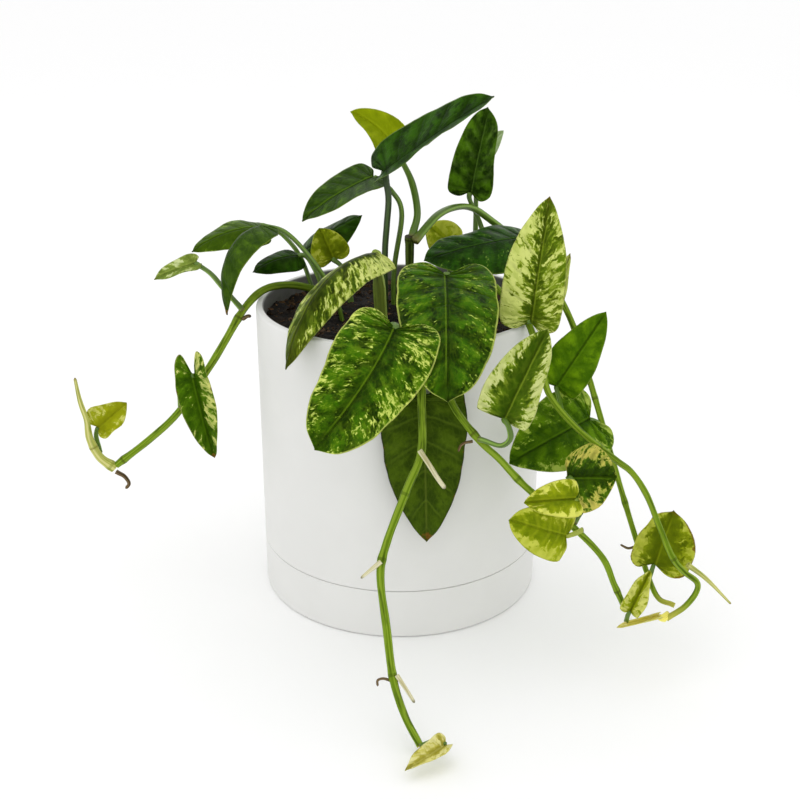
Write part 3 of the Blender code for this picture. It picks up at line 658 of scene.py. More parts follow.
def shoot_material(look):
    """Skin of a shoot: lengthwise streaks, two pale ridges, brown rings at its joints."""
    skin, light, dark, ring_tone, rough, glow = SHOOT_TONES[look]
    material, t = new_material("shoot_" + look)
    x, y, _ = t.parts(t.attribute("ring"))
    length, joint, end = t.parts(t.attribute("along"))

    def mottle(across, along, detail, roughness=0.6):
        return t.noise(t.vector(x * across, y * across, length / along), 1.0, detail, roughness)

    streak = mottle(2.6, 60.0, 4)
    fine = mottle(8.0, 22.0, 3)
    ridge = abs(x).step(0.9, 0.985)
    green = look == "green"
    tone = t.paint(
        skin,
        (streak.step(0.38, 0.66), light),
        (mottle(1.0, 14.0, 2, 0.55).step(0.48, 0.68) * 0.75, dark),
        (ridge * 0.55, light),
        (fine.step(0.6, 0.72) * 0.35, light),
        (mottle(3.0, 1.6, 3, 0.7).step(0.66, 0.74) * 0.55, ring_tone),
        (joint.step(0.3, 0.6) * 0.45, dark),
        (joint.step(0.82, 0.95) * 0.9, ring_tone),
        (length.step(75.0, 25.0) * (0.6 if green else 0.0), dark),
        (end * 0.9, (196, 190, 84) if green else ring_tone),
    )
    height = fine * 0.6 + streak + ridge * 0.6
    rough = fine * 0.2 + rough - 0.08
    finish_material(t, tone, rough, 0.18, (0.8, 0.9, 0.35), height, depth=0.14, glow=(glow, light))
    return material


def stalk_material(name, tone):
    """A leaf's stalk: smooth, paler along the two edges of its sheath, with a short swollen joint."""
    material, t = new_material(name)
    x, y, length = t.parts(t.attribute("flat"))
    along = t.parts(t.attribute("blade"))[1]
    streak = t.noise(t.vector(x * 2.5, y * 2.5, length / 18.0), 1.0, 4, 0.6)
    edge = abs(x).step(0.86, 0.98) * along.step(0.97, 0.7)
    skin = t.paint(
        tone,
        (streak.step(0.36, 0.66), [c * 1.12 + 8 for c in tone]),
        (streak.step(0.44, 0.3) * 0.6, [c * 0.62 for c in tone]),
        (edge * 0.75, [min(255, c * 1.25 + 40) for c in tone]),
        (along.step(0.06, 0.0) * 0.6, (120, 104, 56)),
    )
    finish_material(t, skin, streak * 0.15 + 0.32, height=streak + edge, depth=0.12)
    return material


def leaf_material(name, form, length, seed):
    """A leaf's skin, drawn in the leaf's own lines: flecks run along its side veins."""
    look = form.look
    half = form.width / 2
    material, t = new_material(name)
    across, place, upper = t.parts(t.attribute("blade"))
    share = abs(across)
    flat = t.attribute("flat")
    mm_across = t.parts(flat)[0]

    # Flecks, stretched along the side veins and scarce beside the midrib
    warp = t.noise(flat, 5.0, 2)
    lines = t.vector(
        place * (length / look.fleck) + warp * 2.2,
        across * (half / (look.fleck * look.stretch)) + warp * 0.9,
        seed * 3.7,
    )
    small = t.noise(t.scaled(lines, (2.1, 1.9, 1.0)), 1.0, 2, 0.6)
    patch = t.noise(flat, look.patch, 2)
    speck = t.noise(flat, 0.8, 3, 0.7)
    value = t.noise(lines, 1.0, 3, 0.6) * 0.5 + small * 0.16 + patch * 0.26 + speck * 0.08
    cover = share.step(0.25, 1.0) * look.edge + place.step(0.3, 0.02) * look.lobes + look.cover
    cover = cover + (place - 0.5) * (2 * look.tip) + across.step(-0.12, 0.12) * (2 * look.side) - look.side
    # the band beside the midrib: fewer flecks there, and painted shade along it
    near = abs(mm_across).step(min(7.0, half * 0.45), 0.6)
    level = 0.5 - (cover - near * 1.1) * 0.085
    fleck = (value - level).step(-0.01, 0.02)
    dash = (small * 0.7 + patch * 0.3 - level).step(0.03, 0.07)
    halo = (value - level).step(-0.06, 0.0)

    # Side veins, midrib and the net between them, with painted shade in the grooves of the veins
    vein_place = (place * SIDE_VEINS + warp * 0.16).fraction()
    vein_gap = abs(vein_place - 0.5) * (length / SIDE_VEINS)
    vein = vein_gap.step(0.75, 0.1) * share.step(1.0, 0.75) * place.step(0.99, 0.9)
    shade = vein_gap.step(2.2, 0.4)
    rib = abs(mm_across).step(0.75, 0.25) * place.step(1.02, 0.9)
    net_gap = t.net(t.vector(place * (length / 2.4) + warp, across * (half / 3.4), seed), 1.0)
    net = net_gap.step(0.12, 0.02)

    # Browned margin and tip
    brown = t.noise(flat, 4.5, 4, 0.65) + share.step(0.82, 1.0) * 0.22 + place.step(0.9, 1.0) * 0.4
    ever = min(1, look.dry * 3)
    dry = brown.step(0.86 - 0.24 * look.dry, 0.96 - 0.24 * look.dry) * ever
    burnt = brown.step(0.96 - 0.2 * look.dry, 1.1 - 0.2 * look.dry) * ever

    broad = t.noise(flat, 9.0, 4, 0.6)
    cells = t.noise(t.scaled(lines, (0.55, 0.6, 1.0)), 1.0, 3, 0.6)
    under = upper.step(0.6, 0.4)
    coats = [
        (broad.step(0.38, 0.58), look.green),
        (cells.step(0.5, 0.68) * 0.4, look.halo),
        (cells.step(0.46, 0.3) * 0.55, look.deep),
        # painted shade beside the side veins
        (shade * abs(look.veins), look.deep),
        # painted shade along the midrib's groove
        (near * 0.6, look.deep),
        (net * look.net, look.halo),
        (halo * 0.72, look.halo),
        (dash * 0.6, look.halo),
        (fleck, t.paint(look.pale, (cells.step(0.4, 0.66) * 0.5, look.halo))),
        # dark vein lines are painted shade in the grooves; pale ones, where veins is below 0, are the
        # veins' own colour
        (vein * abs(look.veins * 0.7), look.deep if look.veins > 0 else look.halo),
    ]
    if look.midrib < 0:
        beside = abs(mm_across - 1.0).step(0.6, 0.15) * place.step(1.0, 0.8)
        coats += [(rib * -look.midrib, [c * 0.7 for c in look.deep]), (beside * 0.4, look.halo)]
    else:
        coats += [(rib * (look.midrib + 0.1), look.pale)]
    coats += [
        (share.step(0.955, 0.99) * abs(look.rim), look.pale if look.rim > 0 else (30, 22, 8)),
        (dry, (122, 86, 34)),
        (burnt, (36, 24, 12)),
        (under * 0.62, [c * 0.45 + g * 0.55 for c, g in zip((150, 168, 104), look.green)]),
        (under * rib.most(vein * 0.5) * 0.6, (168, 182, 110)),
    ]
    rough = broad * 0.14 + speck * 0.12 + look.gloss - 0.12 + under * 0.14 + dry * 0.3
    height = 0.5 - vein * 0.55 - rib * 0.8 - net * 0.22 + speck * 0.16 + fleck * 0.12 + broad * 0.8
    tone = t.paint(look.deep, *coats)
    through = [min(255, c * 0.5 + h * 0.75) for c, h in zip(look.halo, look.pale)]
    finish_material(t, tone, rough, 0.11, (0.62, 0.85, 0.2), height, depth=0.3, glow=(look.glow, through))
    return material


def floor_material(name, colour):
    material, t = new_material(name)
    tone = t.paint(colour, (t.noise(t.place(), 0.4, 2) * 0.3, [c - 2 for c in colour]))
    finish_material(t, tone, 0.85, specular=0.15)
    return material


# ---------------------------------------------------------------------------------------------------
# Meshes


def show(name, mesh, materials, slot, *nodes):
    """Links a finished piece, sets what it rides on, and hides the imported nodes that it shows instead.
    """
    for material in materials:
        mesh.materials.append(material)
    piece = bpy.data.objects.new(name, mesh)
    bpy.context.collection.objects.link(piece)
    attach(piece, ROOT)
    if nodes:
        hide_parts(*nodes)
    return piece


def slot_of(node):
    """The material slot that the record gives a node."""
    for part in frame["record"]["subparts"]:
        if part["node"] == node:
            return part["material_slot"]
    raise ValueError("the record has no sub-part " + node)


def curve_points(points, at):
    """Points of the Catmull-Rom curve through points, for an array of shares from 0 to 1."""
    p = np.asarray(points, float)
    p = np.vstack((2 * p[0] - p[1], p, 2 * p[-1] - p[-2]))
    spans = len(points) - 1
    place = np.clip(np.asarray(at, float), 0, 1) * spans
    k = np.minimum(place.astype(int), spans - 1)
    f = (place - k)[:, None]
    p0, p1, p2, p3 = p[k], p[k + 1], p[k + 2], p[k + 3]
    near = 2 * p1 + (p2 - p0) * f
    return 0.5 * (near + (2 * p0 - 5 * p1 + 4 * p2 - p3) * f**2 + (3 * p1 - p0 - 3 * p2 + p3) * f**3)


def even_route(points, step):
    """The curve through points, resampled at even steps of about step millimetres."""
    fine = curve_points(points, np.linspace(0, 1, 400))
    gone = np.concatenate(([0], np.cumsum(np.linalg.norm(np.diff(fine, axis=0), axis=1))))
    count = max(4, int(gone[-1] / step))
    places = np.linspace(0, gone[-1], count + 1)
    return np.stack([np.interp(places, gone, fine[:, i]) for i in range(3)], axis=1), places


def skin_faces(rings, count, offset=0):
    """Quads between rings of count vertices, and fans to the two points that follow them."""
    faces = []
    for r in range(rings - 1):
        low, high = offset + r * count, offset + (r + 1) * count
        for i in range(count):
            j = (i + 1) % count
            faces.append((low + i, low + j, high + j, high + i))
    start = offset + rings * count
    last = offset + (rings - 1) * count
    for i in range(count):
        j = (i + 1) % count
        faces.append((offset + j, offset + i, start))
        faces.append((last + i, last + j, start + 1))
    return faces


def mesh_of(name, points, faces, attributes=()):
    """A smooth mesh of points in millimetres, with a vector attribute for each name and array."""
    mesh = bpy.data.meshes.new(name)
    mesh.from_pydata([tuple(p) for p in np.asarray(points) * MM], [], faces)
    for label, values in attributes:
        layer = mesh.attributes.new(label, "FLOAT_VECTOR", "POINT")
        layer.data.foreach_set("vector", np.asarray(values, np.float32).ravel())
    mesh.shade_smooth()
    mesh.update()
    return mesh


def turned(name, profile, steps, smooth_angle=40.0):
    """A closed profile of (radius, height) in metres, turned about Z."""
    bm = bmesh.new()
    verts = [bm.verts.new((radius, 0, height)) for radius, height in profile]
    edges = [bm.edges.new((verts[i - 1], verts[i])) for i in range(len(verts))]
    bmesh.ops.spin(bm, geom=verts + edges, cent=(0, 0, 0), axis=(0, 0, 1), angle=math.tau, steps=steps)
    bmesh.ops.remove_doubles(bm, verts=bm.verts, dist=0.005 * MM)
    bmesh.ops.recalc_face_normals(bm, faces=bm.faces)
    mesh = bpy.data.meshes.new(name)
    bm.to_mesh(mesh)
    bm.free()
    mesh.shade_smooth()
    mesh.set_sharp_from_angle(angle=math.radians(smooth_angle))
    return mesh


def rounded(profile, steps=6):
    """A profile whose corners, given as (radius, height, round), are rounded off."""
    points = []
    count = len(profile)
    for i, (x, z, size) in enumerate(profile):
        here = Vector((x, z))
        if not size:
            points.append((x, z))
            continue
        before = (Vector(profile[i - 1][:2]) - here).normalized() * size + here
        after = (Vector(profile[(i + 1) % count][:2]) - here).normalized() * size + here
        for k in range(steps + 1):
            f = k / steps
            p = before * (1 - f) ** 2 + here * (2 * f * (1 - f)) + after * f**2
            points.append((p.x, p.y))
    return points


def in_soil(start):
    """Whether a route starts at the top of the soil, and not on a shoot."""
    return SOIL_EDGE <= start[2] < SOIL_LEVEL and math.hypot(start[0], start[1]) < SOIL_RADIUS


# ---------------------------------------------------------------------------------------------------
# Shoots, by geometry nodes


def node_group(name, inputs):
    """A geometry node group that makes a mesh: the group, its tree and the node of its inputs."""
    group = bpy.data.node_groups.new(name, "GeometryNodeTree")
    for label, kind in inputs.items():
        group.interface.new_socket(label, in_out="INPUT", socket_type="NodeSocket" + kind)
    group.interface.new_socket("Mesh", in_out="OUTPUT", socket_type="NodeSocketGeometry")
    tree = Tree(group)
    return group, tree, tree.add("NodeGroupInput")


def shoot_tree():
    """Geometry nodes that skin a line of points: a tube as thick as each point says, with a nub of a
    root at each joint."""
    inputs = {
        "Line": "Geometry",
        "Sides": "Int",
        "Skin": "Material",
        "Nub": "Object",
        "Nub size": "Float",
        "Seed": "Int",
    }
    group, t, given = node_group("Shoot", inputs)
    thick, nubbed = (
        t.add("GeometryNodeInputNamedAttribute", {"data_type": "FLOAT"}, {"Name": label})
        for label in ("thick", "nubbed")
    )
    curve = t.add("GeometryNodeMeshToCurve", None, {"Mesh": given["Line"]})
    circle = t.add("GeometryNodeCurvePrimitiveCircle", None, {"Resolution": given["Sides"], "Radius": 1.0})
    store = {"data_type": "FLOAT_VECTOR", "domain": "POINT"}
    sockets = {"Geometry": circle, "Name": "ring", "Value": t.add("GeometryNodeInputPosition")}
    circle = t.add("GeometryNodeStoreNamedAttribute", store, sockets)
    sockets = {"Curve": curve, "Profile Curve": circle, "Scale": thick, "Fill Caps": True}
    tube = t.add("GeometryNodeCurveToMesh", None, sockets)
    nub = t.add("GeometryNodeObjectInfo", None, {"Object": given["Nub"]})["Geometry"]
    sockets = {"Min": (-0.5, -0.5, 0.0), "Max": (0.5, 0.5, math.tau), "Seed": given["Seed"]}
    spin = t.add("FunctionNodeRandomValue", {"data_type": "FLOAT_VECTOR"}, sockets)
    size = t.add("FunctionNodeRandomValue", None, {2: 0.7, 3: 1.3, "Seed": given["Seed"]})["Value"]
    sockets = {
        "Points": given["Line"],
        "Selection": t.over(nubbed, 0.5),
        "Instance": nub,
        "Rotation": spin,
        "Scale": size * given["Nub size"],
    }
    nubs = t.add("GeometryNodeInstanceOnPoints", None, sockets)
    joined = t.add("GeometryNodeJoinGeometry")
    for part in (tube, nubs):
        group.links.new(part.output, joined.output.node.inputs[0])
    whole = t.add("GeometryNodeRealizeInstances", None, {"Geometry": joined})
    whole = t.add("GeometryNodeSetMaterial", None, {"Geometry": whole, "Material": given["Skin"]})
    whole = t.add("GeometryNodeSetShadeSmooth", None, {"Geometry": whole})
    t.add("NodeGroupOutput", None, {"Mesh": whole})
    return group


def grow(piece_name, line, group, values):
    """Runs a geometry node group on a mesh and returns the plain mesh that it makes."""
    source = bpy.data.objects.new(piece_name + "_line", line)
    bpy.context.collection.objects.link(source)
    modifier = source.modifiers.new("grow", "NODES")
    modifier.node_group = group
    for item in group.interface.items_tree:
        if item.in_out == "INPUT" and item.name in values:
            modifier[item.identifier] = values[item.name]
    source.update_tag()
    graph = bpy.context.evaluated_depsgraph_get()
    mesh = bpy.data.meshes.new_from_object(source.evaluated_get(graph))
    mesh.name = piece_name
    source.modifiers.clear()
    bpy.data.objects.remove(source, do_unlink=True)
    return mesh


def pebble(name, seed, size, points=14):
    """A small closed lump: the hull of points scattered in a box of this size, in millimetres."""
    rng = np.random.default_rng(seed)
    bm = bmesh.new()
    for _ in range(points):
        p = rng.normal(size=3)
        p = p / np.linalg.norm(p) * rng.uniform(0.75, 1.0)
        bm.verts.new([p[i] * size[i] / 2 * MM for i in range(3)])
    hull = bmesh.ops.convex_hull(bm, input=bm.verts)
    spare = {v for v in hull["geom_interior"] + hull["geom_unused"] if isinstance(v, bmesh.types.BMVert)}
    bmesh.ops.delete(bm, geom=list(spare), context="VERTS")
    bmesh.ops.recalc_face_normals(bm, faces=bm.faces)
    mesh = bpy.data.meshes.new(name)
    bm.to_mesh(mesh)
    bm.free()
    lump = bpy.data.objects.new(name, mesh)
    bpy.context.collection.objects.link(lump)
    return lump


def shoot_line(name, form, foot):
    """The middle line of a shoot, each point with its thickness, and marks at the joints."""
    route = [Vector(p) for p in form.route]
    route.insert(0, route[0] + (route[0] - route[1]).normalized() * foot)  # sunk into what bears it
    if form.look in ("green", "old"):
        route.append(route[-1] + (route[-1] - route[-2]).normalized() * 2.2)
    points, gone = even_route(route, 0.8 if len(route) > 6 else 0.5)
    total = gone[-1]
    share = gone / total
    thick = 0.86 * (form.radius + (form.end_radius - form.radius) * share)
    mark = np.zeros(len(points))
    nubbed = np.zeros(len(points))
    for place in form.joints:
        apart = gone - place * total
        thick = thick * (1 + 0.16 * np.exp(-((apart / 2.2) ** 2)))
        mark = np.maximum(mark, np.exp(-((apart / 0.8) ** 2)))
        nubbed[np.argmin(abs(apart))] = 1.0
    wobble = np.array([noise.noise(Vector((place / 9, form.radius, len(name)))) for place in gone])
    thick = thick * (1 + 0.09 * wobble)
    if form.look not in ("green", "old"):  # the others end in a rounded point
        tip = np.clip((total - gone) / (form.end_radius * 1.2), 0.0, 1.0)
        thick = thick * np.sqrt(1 - (1 - tip) ** 2 * 0.9)
    fade = form.pale_end or 1.8 * (form.look in ("dry", "young")) or 0.01
    end = np.clip(1 - (total - gone) / fade, 0, 1)
    mesh = bpy.data.meshes.new(name + "_line")
    mesh.from_pydata([tuple(p) for p in points * MM], [(i, i + 1) for i in range(len(points) - 1)], [])
    for label, values in (("thick", thick * MM), ("nubbed", nubbed)):
        mesh.attributes.new(label, "FLOAT", "POINT").data.foreach_set("value", values.astype(np.float32))
    along = np.stack((gone, mark, end), axis=1)
    layer = mesh.attributes.new("along", "FLOAT_VECTOR", "POINT")
    layer.data.foreach_set("vector", along.astype(np.float32).ravel())
    return mesh


# ---------------------------------------------------------------------------------------------------
# Leaves


def turn_vectors(v, angle, axis):
    """Turns an array of vectors about one axis, each by its own angle."""
    c, s = np.cos(angle), np.sin(angle)
    a, b = [(1, 2), (2, 0), (0, 1)][axis]
    out = v.copy()
    out[..., a] = v[..., a] * c - v[..., b] * s
    out[..., b] = v[..., a] * s + v[..., b] * c
    return out


def bend(form, across, along):
    """The midrib's point as a share of the length, the step out from it, and the upper normal."""
    side = np.where(across < 0, -1.0, 1.0)
    wide = np.abs(across)
    start = math.radians(form.fold) * np.tanh(wide / 1.2)
    turn = math.radians(form.curl) * wide / (form.width / 2)
    middle = start + turn / 2
    zero = np.zeros_like(across)
    step = np.stack((side * wide * np.cos(middle), zero, wide * np.sin(middle)), axis=-1)
    slope = start + turn
    normal = np.stack((-side * np.sin(slope), zero, np.cos(slope)), axis=-1)
    arch, sweep = math.radians(form.arch), math.radians(form.sweep)
    midrib = np.stack(
        (
            along * np.sin(sweep * along / 2),
            along * np.cos(arch * along / 2) * np.cos(sweep * along / 2),
            -along * np.sin(arch * along / 2),
        ),
        axis=-1,
    )
    step, normal = (turn_vectors(v, -arch * along, 0) for v in (step, normal))
    step, normal = (turn_vectors(v, -sweep * along, 2) for v in (step, normal))
    return midrib, step, normal


def axes(forward, up):
    y = forward.normalized()
    x = y.cross(up).normalized()
    return Matrix((x, y, x.cross(y))).transposed()


def blade_frame(form):
    """The blade's length, and the turn from its own axes to the world."""
    base, tip = Vector(form.base), Vector(form.tip)
    own_tip = Vector(bend(form, np.array([0.0]), np.array([1.0]))[0][0])
    length = (tip - base).length / own_tip.length
    turn = axes(tip - base, Vector(form.facing)) @ axes(own_tip, Vector((0, 0, 1))).transposed()
    return length, np.array(turn)


def lump_noise(points, size, seed):
    """Smooth noise from -1 to 1 at each flat point."""
    shift = Vector((seed * 7.3, seed * 3.1, 0))
    flat = points.reshape(-1, 2)
    values = [noise.noise(Vector((x / size, y / size, 0)) + shift) for x, y in flat]
    return np.array(values).reshape(points.shape[:-1])


def blade(form, thickness, seed):
    """Points, faces and attributes of a blade: a thin closed sheet with veins, waves and a midrib."""
    length, turn = blade_frame(form)
    half = form.width / 2
    rows = int(np.clip(length / 1.1, 22, 64))
    columns = 2 * int(np.clip(half / 1.1, 7, 22)) + 1
    even = np.linspace(0, 1, rows)
    at = 0.006 + 0.988 * (0.6 * even + 0.4 * (0.5 - 0.5 * np.cos(math.pi * even)))
    spread = np.linspace(-1, 1, columns)
    share = np.sign(spread) * (1 - (1 - np.abs(spread)) ** 1.15)
    out, reach, root = curve_points(OUTLINE, at).T
    reach = np.where(reach < 0, reach * form.lobe, reach)
    out = np.maximum(out, 0.012) ** (1 / (1 + form.full * at * (1 - at**6)))
    nicks = [noise.fractal(Vector((place * length / 9, seed * 5.3, 0)), 1.0, 2.0, 3) for place in at]
    out = out * (1 + 0.045 * np.array(nicks))
    across = share[None, :] * out[:, None] * half
    along = root[:, None] + (reach - root)[:, None] * np.abs(share)[None, :] ** 1.2
    midrib, step, normal = bend(form, across, along)
    flat = np.stack((across, along * length), axis=-1)

    s = np.abs(share)[None, :] + 0 * across
    a = at[:, None] + 0 * across
    swing = np.sin(math.tau * (form.waves * a + 0.21 * np.sign(across) + seed * 0.37))
    rise = form.wave * swing * s**2.4 * np.sin(math.pi * np.clip(a, 0, 1)) ** 0.5
    rise += form.crumple * 2.4 * lump_noise(flat, 17.0, seed) * (0.25 + s)
    rise += form.crumple * 0.9 * lump_noise(flat, 6.5, seed + 5) * (0.3 + s)
    pad = np.sin(np.abs(((a * SIDE_VEINS) % 1.0) - 0.5) * math.pi)
    rise += form.width / 50 * 1.1 * (pad - 0.6) * 4 * s * (1 - s)
    groove = 0.32 * np.exp(-((across / 0.9) ** 2)) * (1 - a) ** 0.3
    rib = (0.25 + 0.45 * (1 - a)) * np.exp(-((across / 0.85) ** 2))

    centre = np.array(form.base) + (midrib * length + step) @ turn.T
    up = normal @ turn.T
    thick = thickness * (0.55 + 0.45 * (1 - s))
    upper = centre + up * (rise - groove + thick / 2)[..., None]
    lower = centre + up * (rise - rib - thick / 2)[..., None]
    lower = lower[:, 1:-1][:, ::-1]
    for edge in (0, -1):
        upper[:, edge] = (centre + up * rise[..., None])[:, edge]
    points = np.concatenate((upper, lower), axis=1)
    count = points.shape[1]

    def both(values):
        return np.concatenate((values, values[:, 1:-1][:, ::-1]), axis=1)

    face = np.concatenate((np.ones_like(across), np.zeros_like(across)[:, 1:-1]), axis=1)
    own = np.stack((both(share[None, :] + 0 * across), both(a), face), axis=-1).reshape(-1, 3)
    lie = np.stack((both(flat[..., 0]), both(flat[..., 1]), 0 * face), axis=-1).reshape(-1, 3)
    ends = np.array([form.base, form.tip], float)
    own = np.vstack((own, [(0, 0, 0.5), (0, 1, 0.5)]))
    lie = np.vstack((lie, [(0, 0, 0), (0, length, 0)]))
    points = np.vstack((points.reshape(-1, 3), ends))
    return points, skin_faces(rows, count), own, lie, length, turn


def stalk(form, turn):
    """Points, faces and attributes of a stalk: winged by its sheath, swollen where the blade starts."""
    route = [Vector(p) for p in form.stalk] + [Vector(form.base)]
    foot = SOIL_FOOT if in_soil(route[0]) else STALK_FOOT
    route.insert(0, route[0] + (route[0] - route[1]).normalized() * foot)
    points, gone = even_route(route, 1.2)
    share = gone / gone[-1]
    ahead = np.gradient(points, axis=0)
    ahead /= np.linalg.norm(ahead, axis=1)[:, None]
    across = np.empty_like(ahead)
    side = turn @ np.array([1.0, 0, 0])
    for i in reversed(range(len(points))):  # turned as little as possible from the blade's end down
        side = side - ahead[i] * (ahead[i] @ side)
        side /= np.linalg.norm(side)
        across[i] = side
    up = np.cross(across, ahead)
    angle = math.pi - math.tau * np.arange(STALK_SIDES) / STALK_SIDES
    radius = form.stalk_radius * (1 + 0.28 * np.exp(-(((gone[-1] - gone) / 3.0) ** 2)))
    radius = radius * (1 + 0.2 * np.exp(-((gone / 5.0) ** 2)))
    radius[-1] *= 0.8
    wing = 1 + form.wing * np.clip((0.82 - share) / 0.2, 0, 1)
    dip = 1 - 0.22 * np.exp(-(((angle - math.pi / 2) / 0.45) ** 2))
    wide = (radius * wing)[:, None] * np.cos(angle)
    tall = radius[:, None] * (np.sin(angle) * dip)[None, :] * 0.96
    rings = points[:, None] + across[:, None] * wide[..., None] + up[:, None] * tall[..., None]
    level = np.zeros_like(wide)
    own = np.stack((level, share[:, None] + level, level + 1), axis=-1).reshape(-1, 3)
    lie = np.stack((np.cos(angle) + level, np.sin(angle) + level, gone[:, None] + level), axis=-1)
    own = np.vstack((own, [(0, 0, 1), (0, 1, 1)]))
    lie = np.vstack((lie.reshape(-1, 3), [(0, 0, 0), (0, 0, gone[-1])]))
    skin = np.vstack((rings.reshape(-1, 3), [points[0], points[-1]]))
    return skin, skin_faces(len(points), STALK_SIDES), own, lie


def leaf(name, form, thickness, seed):
    points, faces, own, lie, length, turn = blade(form, thickness, seed)
    more, more_faces, more_own, more_lie = stalk(form, turn)
    shift = len(points)
    blade_faces = len(faces)
    faces = faces + [tuple(i + shift for i in face) for face in more_faces]
    attributes = (("blade", np.vstack((own, more_own))), ("flat", np.vstack((lie, more_lie))))
    mesh = mesh_of(name, np.vstack((points, more)), faces, attributes)
    index = np.zeros(len(faces), np.int32)
    index[blade_faces:] = 1
    mesh.polygons.foreach_set("material_index", index)
    skin = leaf_material(name + "_skin", form, length, seed)
    materials = [skin, stalk_material(name + "_stalk", form.tone)]
    show("green_" + name, mesh, materials, slot_of(name), name)


# ---------------------------------------------------------------------------------------------------
# Soil


def soil_height(x, y):
    """The soil's surface in millimetres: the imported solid's rise and fall, with clumps."""
    base = SOIL_LEVEL + 1.6 * (math.sin(x / 17 + 0.6) * math.cos(y / 21) + 0.4 * math.sin(y / 9))
    clumps = noise.fractal(Vector((x / 9, y / 9, 1.7)), 0.8, 2.1, 5)
    lumps = noise.noise(Vector((x / 22, y / 22, 5.0)))
    return base + 1.5 * clumps + 1.6 * lumps


def soil_mesh(inner, steps=168, rings=44):
    """The soil as one closed solid with an uneven top."""
    angle = math.tau * np.arange(steps) / steps
    circle = np.stack((np.cos(angle), np.sin(angle)), axis=-1)
    narrow = inner - 4.0  # inside the pot's foot
    levels = [(narrow, 9.0), (narrow, 27.2), (inner, 31.5), (inner, 100.0), (inner, SOIL_EDGE)]
    points = [(*(circle[i] * radius), height) for radius, height in levels for i in range(steps)]
    for r in range(rings):
        radius = inner * (1 - r / rings) ** 0.92
        for i in range(steps):
            x, y = circle[i] * radius
            points.append((x, y, soil_height(x, y) - (1.5 if r == 0 else 0)))
    points += [(0, 0, 9.0), (0, 0, soil_height(0, 0))]
    return mesh_of("soil_body", points, skin_faces(len(levels) + rings, steps))


def scatter_tree():
    """Geometry nodes that scatter lumps over the upward faces of a surface."""
    inputs = {
        "Surface": "Geometry",
        "Lump": "Object",
        "Other lump": "Object",
        "Density": "Float",
        "Smallest": "Float",
        "Largest": "Float",
        "Level": "Float",
        "Seed": "Int",
        "Skin": "Material",
    }
    group, t, given = node_group("Scatter", inputs)
    flat = t.over(t.parts(t.add("GeometryNodeInputNormal"))[2], 0.3)
    high = t.over(t.parts(t.add("GeometryNodeInputPosition"))[2], given["Level"])
    wanted = t.add("FunctionNodeBooleanMath", {"operation": "AND"}, {0: flat, 1: high})
    sockets = {
        "Mesh": given["Surface"],
        "Selection": wanted,
        "Density": given["Density"],
        "Seed": given["Seed"],
    }
    spots = t.add("GeometryNodeDistributePointsOnFaces", None, sockets)
    shade = t.add("FunctionNodeRandomValue", {"data_type": "FLOAT_VECTOR"}, {"Seed": 7})
    store = {"data_type": "FLOAT_VECTOR", "domain": "INSTANCE"}
    spin = {"Min": (0.0, 0.0, 0.0), "Max": (0.9, 0.9, math.tau), "Seed": 3}
    turn = t.add("FunctionNodeRandomValue", {"data_type": "FLOAT_VECTOR"}, spin)
    sockets = {2: given["Smallest"], 3: given["Largest"], "Seed": 5}
    size = t.add("FunctionNodeRandomValue", None, sockets)["Value"]
    choice = t.add("GeometryNodeGeometryToInstance")
    for label in ("Lump", "Other lump"):
        lump = t.add("GeometryNodeObjectInfo", None, {"Object": given[label]})["Geometry"]
        group.links.new(lump.output, choice.output.node.inputs[0])
    sockets = {"Points": spots, "Instance": choice, "Pick Instance": True, "Rotation": turn, "Scale": size}
    lumps = t.add("GeometryNodeInstanceOnPoints", None, sockets)
    sockets = {"Geometry": lumps, "Name": "shade", "Value": shade}
    lumps = t.add("GeometryNodeStoreNamedAttribute", store, sockets)
    lumps = t.add("GeometryNodeRealizeInstances", None, {"Geometry": lumps})
    lumps = t.add("GeometryNodeSetMaterial", None, {"Geometry": lumps, "Material": given["Skin"]})
    t.add("NodeGroupOutput", None, {"Mesh": lumps})
    return group


# ---------------------------------------------------------------------------------------------------
# Settings


def length_setting(name, description, default):
    return bpy.props.FloatProperty(name=name, description=description, default=default, unit="LENGTH")


def number_setting(name, description, default, unit="NONE"):
    return bpy.props.FloatProperty(name=name, description=description, default=default, unit=unit)


def colour_setting(name, description, default):
    return bpy.props.IntVectorProperty(name=name, description=description, default=default, size=3)


class PotSettings(bpy.types.PropertyGroup):
    radius: length_setting("Radius", "Outside radius of pot and saucer", 0.075)
    height: length_setting("Height", "From the surface to the rim", 0.1574)
    wall: length_setting("Wall", "Thickness of the wall", 0.004)
    seam: length_setting("Seam", "Height of the seam between saucer and pot", 0.0266)
    colour: colour_setting("Colour", "Display colour of the glaze", (228, 228, 225))


class SoilSettings(bpy.types.PropertyGroup):
    chips: number_setting("Chips", "Bark chips on a square metre", 17000.0)
    crumbs: number_setting("Crumbs", "Crumbs on a square metre", 90000.0)


class LeafSettings(bpy.types.PropertyGroup):
    thickness: length_setting("Blade thickness", "Thickness beside the midrib", 0.0005)


class StageSettings(bpy.types.PropertyGroup):
    floor: length_setting("Floor", "Radius of the floor", 14.0)
    floor_colour: colour_setting("Floor colour", "Display colour of the floor", (254, 254, 254))
    sky: number_setting("Sky", "Strength of the light from all round", 1.0)
    key: number_setting("Key light", "Power of the soft light from the upper left", 2.2, "POWER")
    lens: number_setting("Lens", "Focal length in millimetres", 55.0)


SETTINGS = {
    "plant_pot": PotSettings,
    "plant_soil": SoilSettings,
    "plant_leaf": LeafSettings,
    "plant_stage": StageSettings,
}


# ---------------------------------------------------------------------------------------------------
# Operators


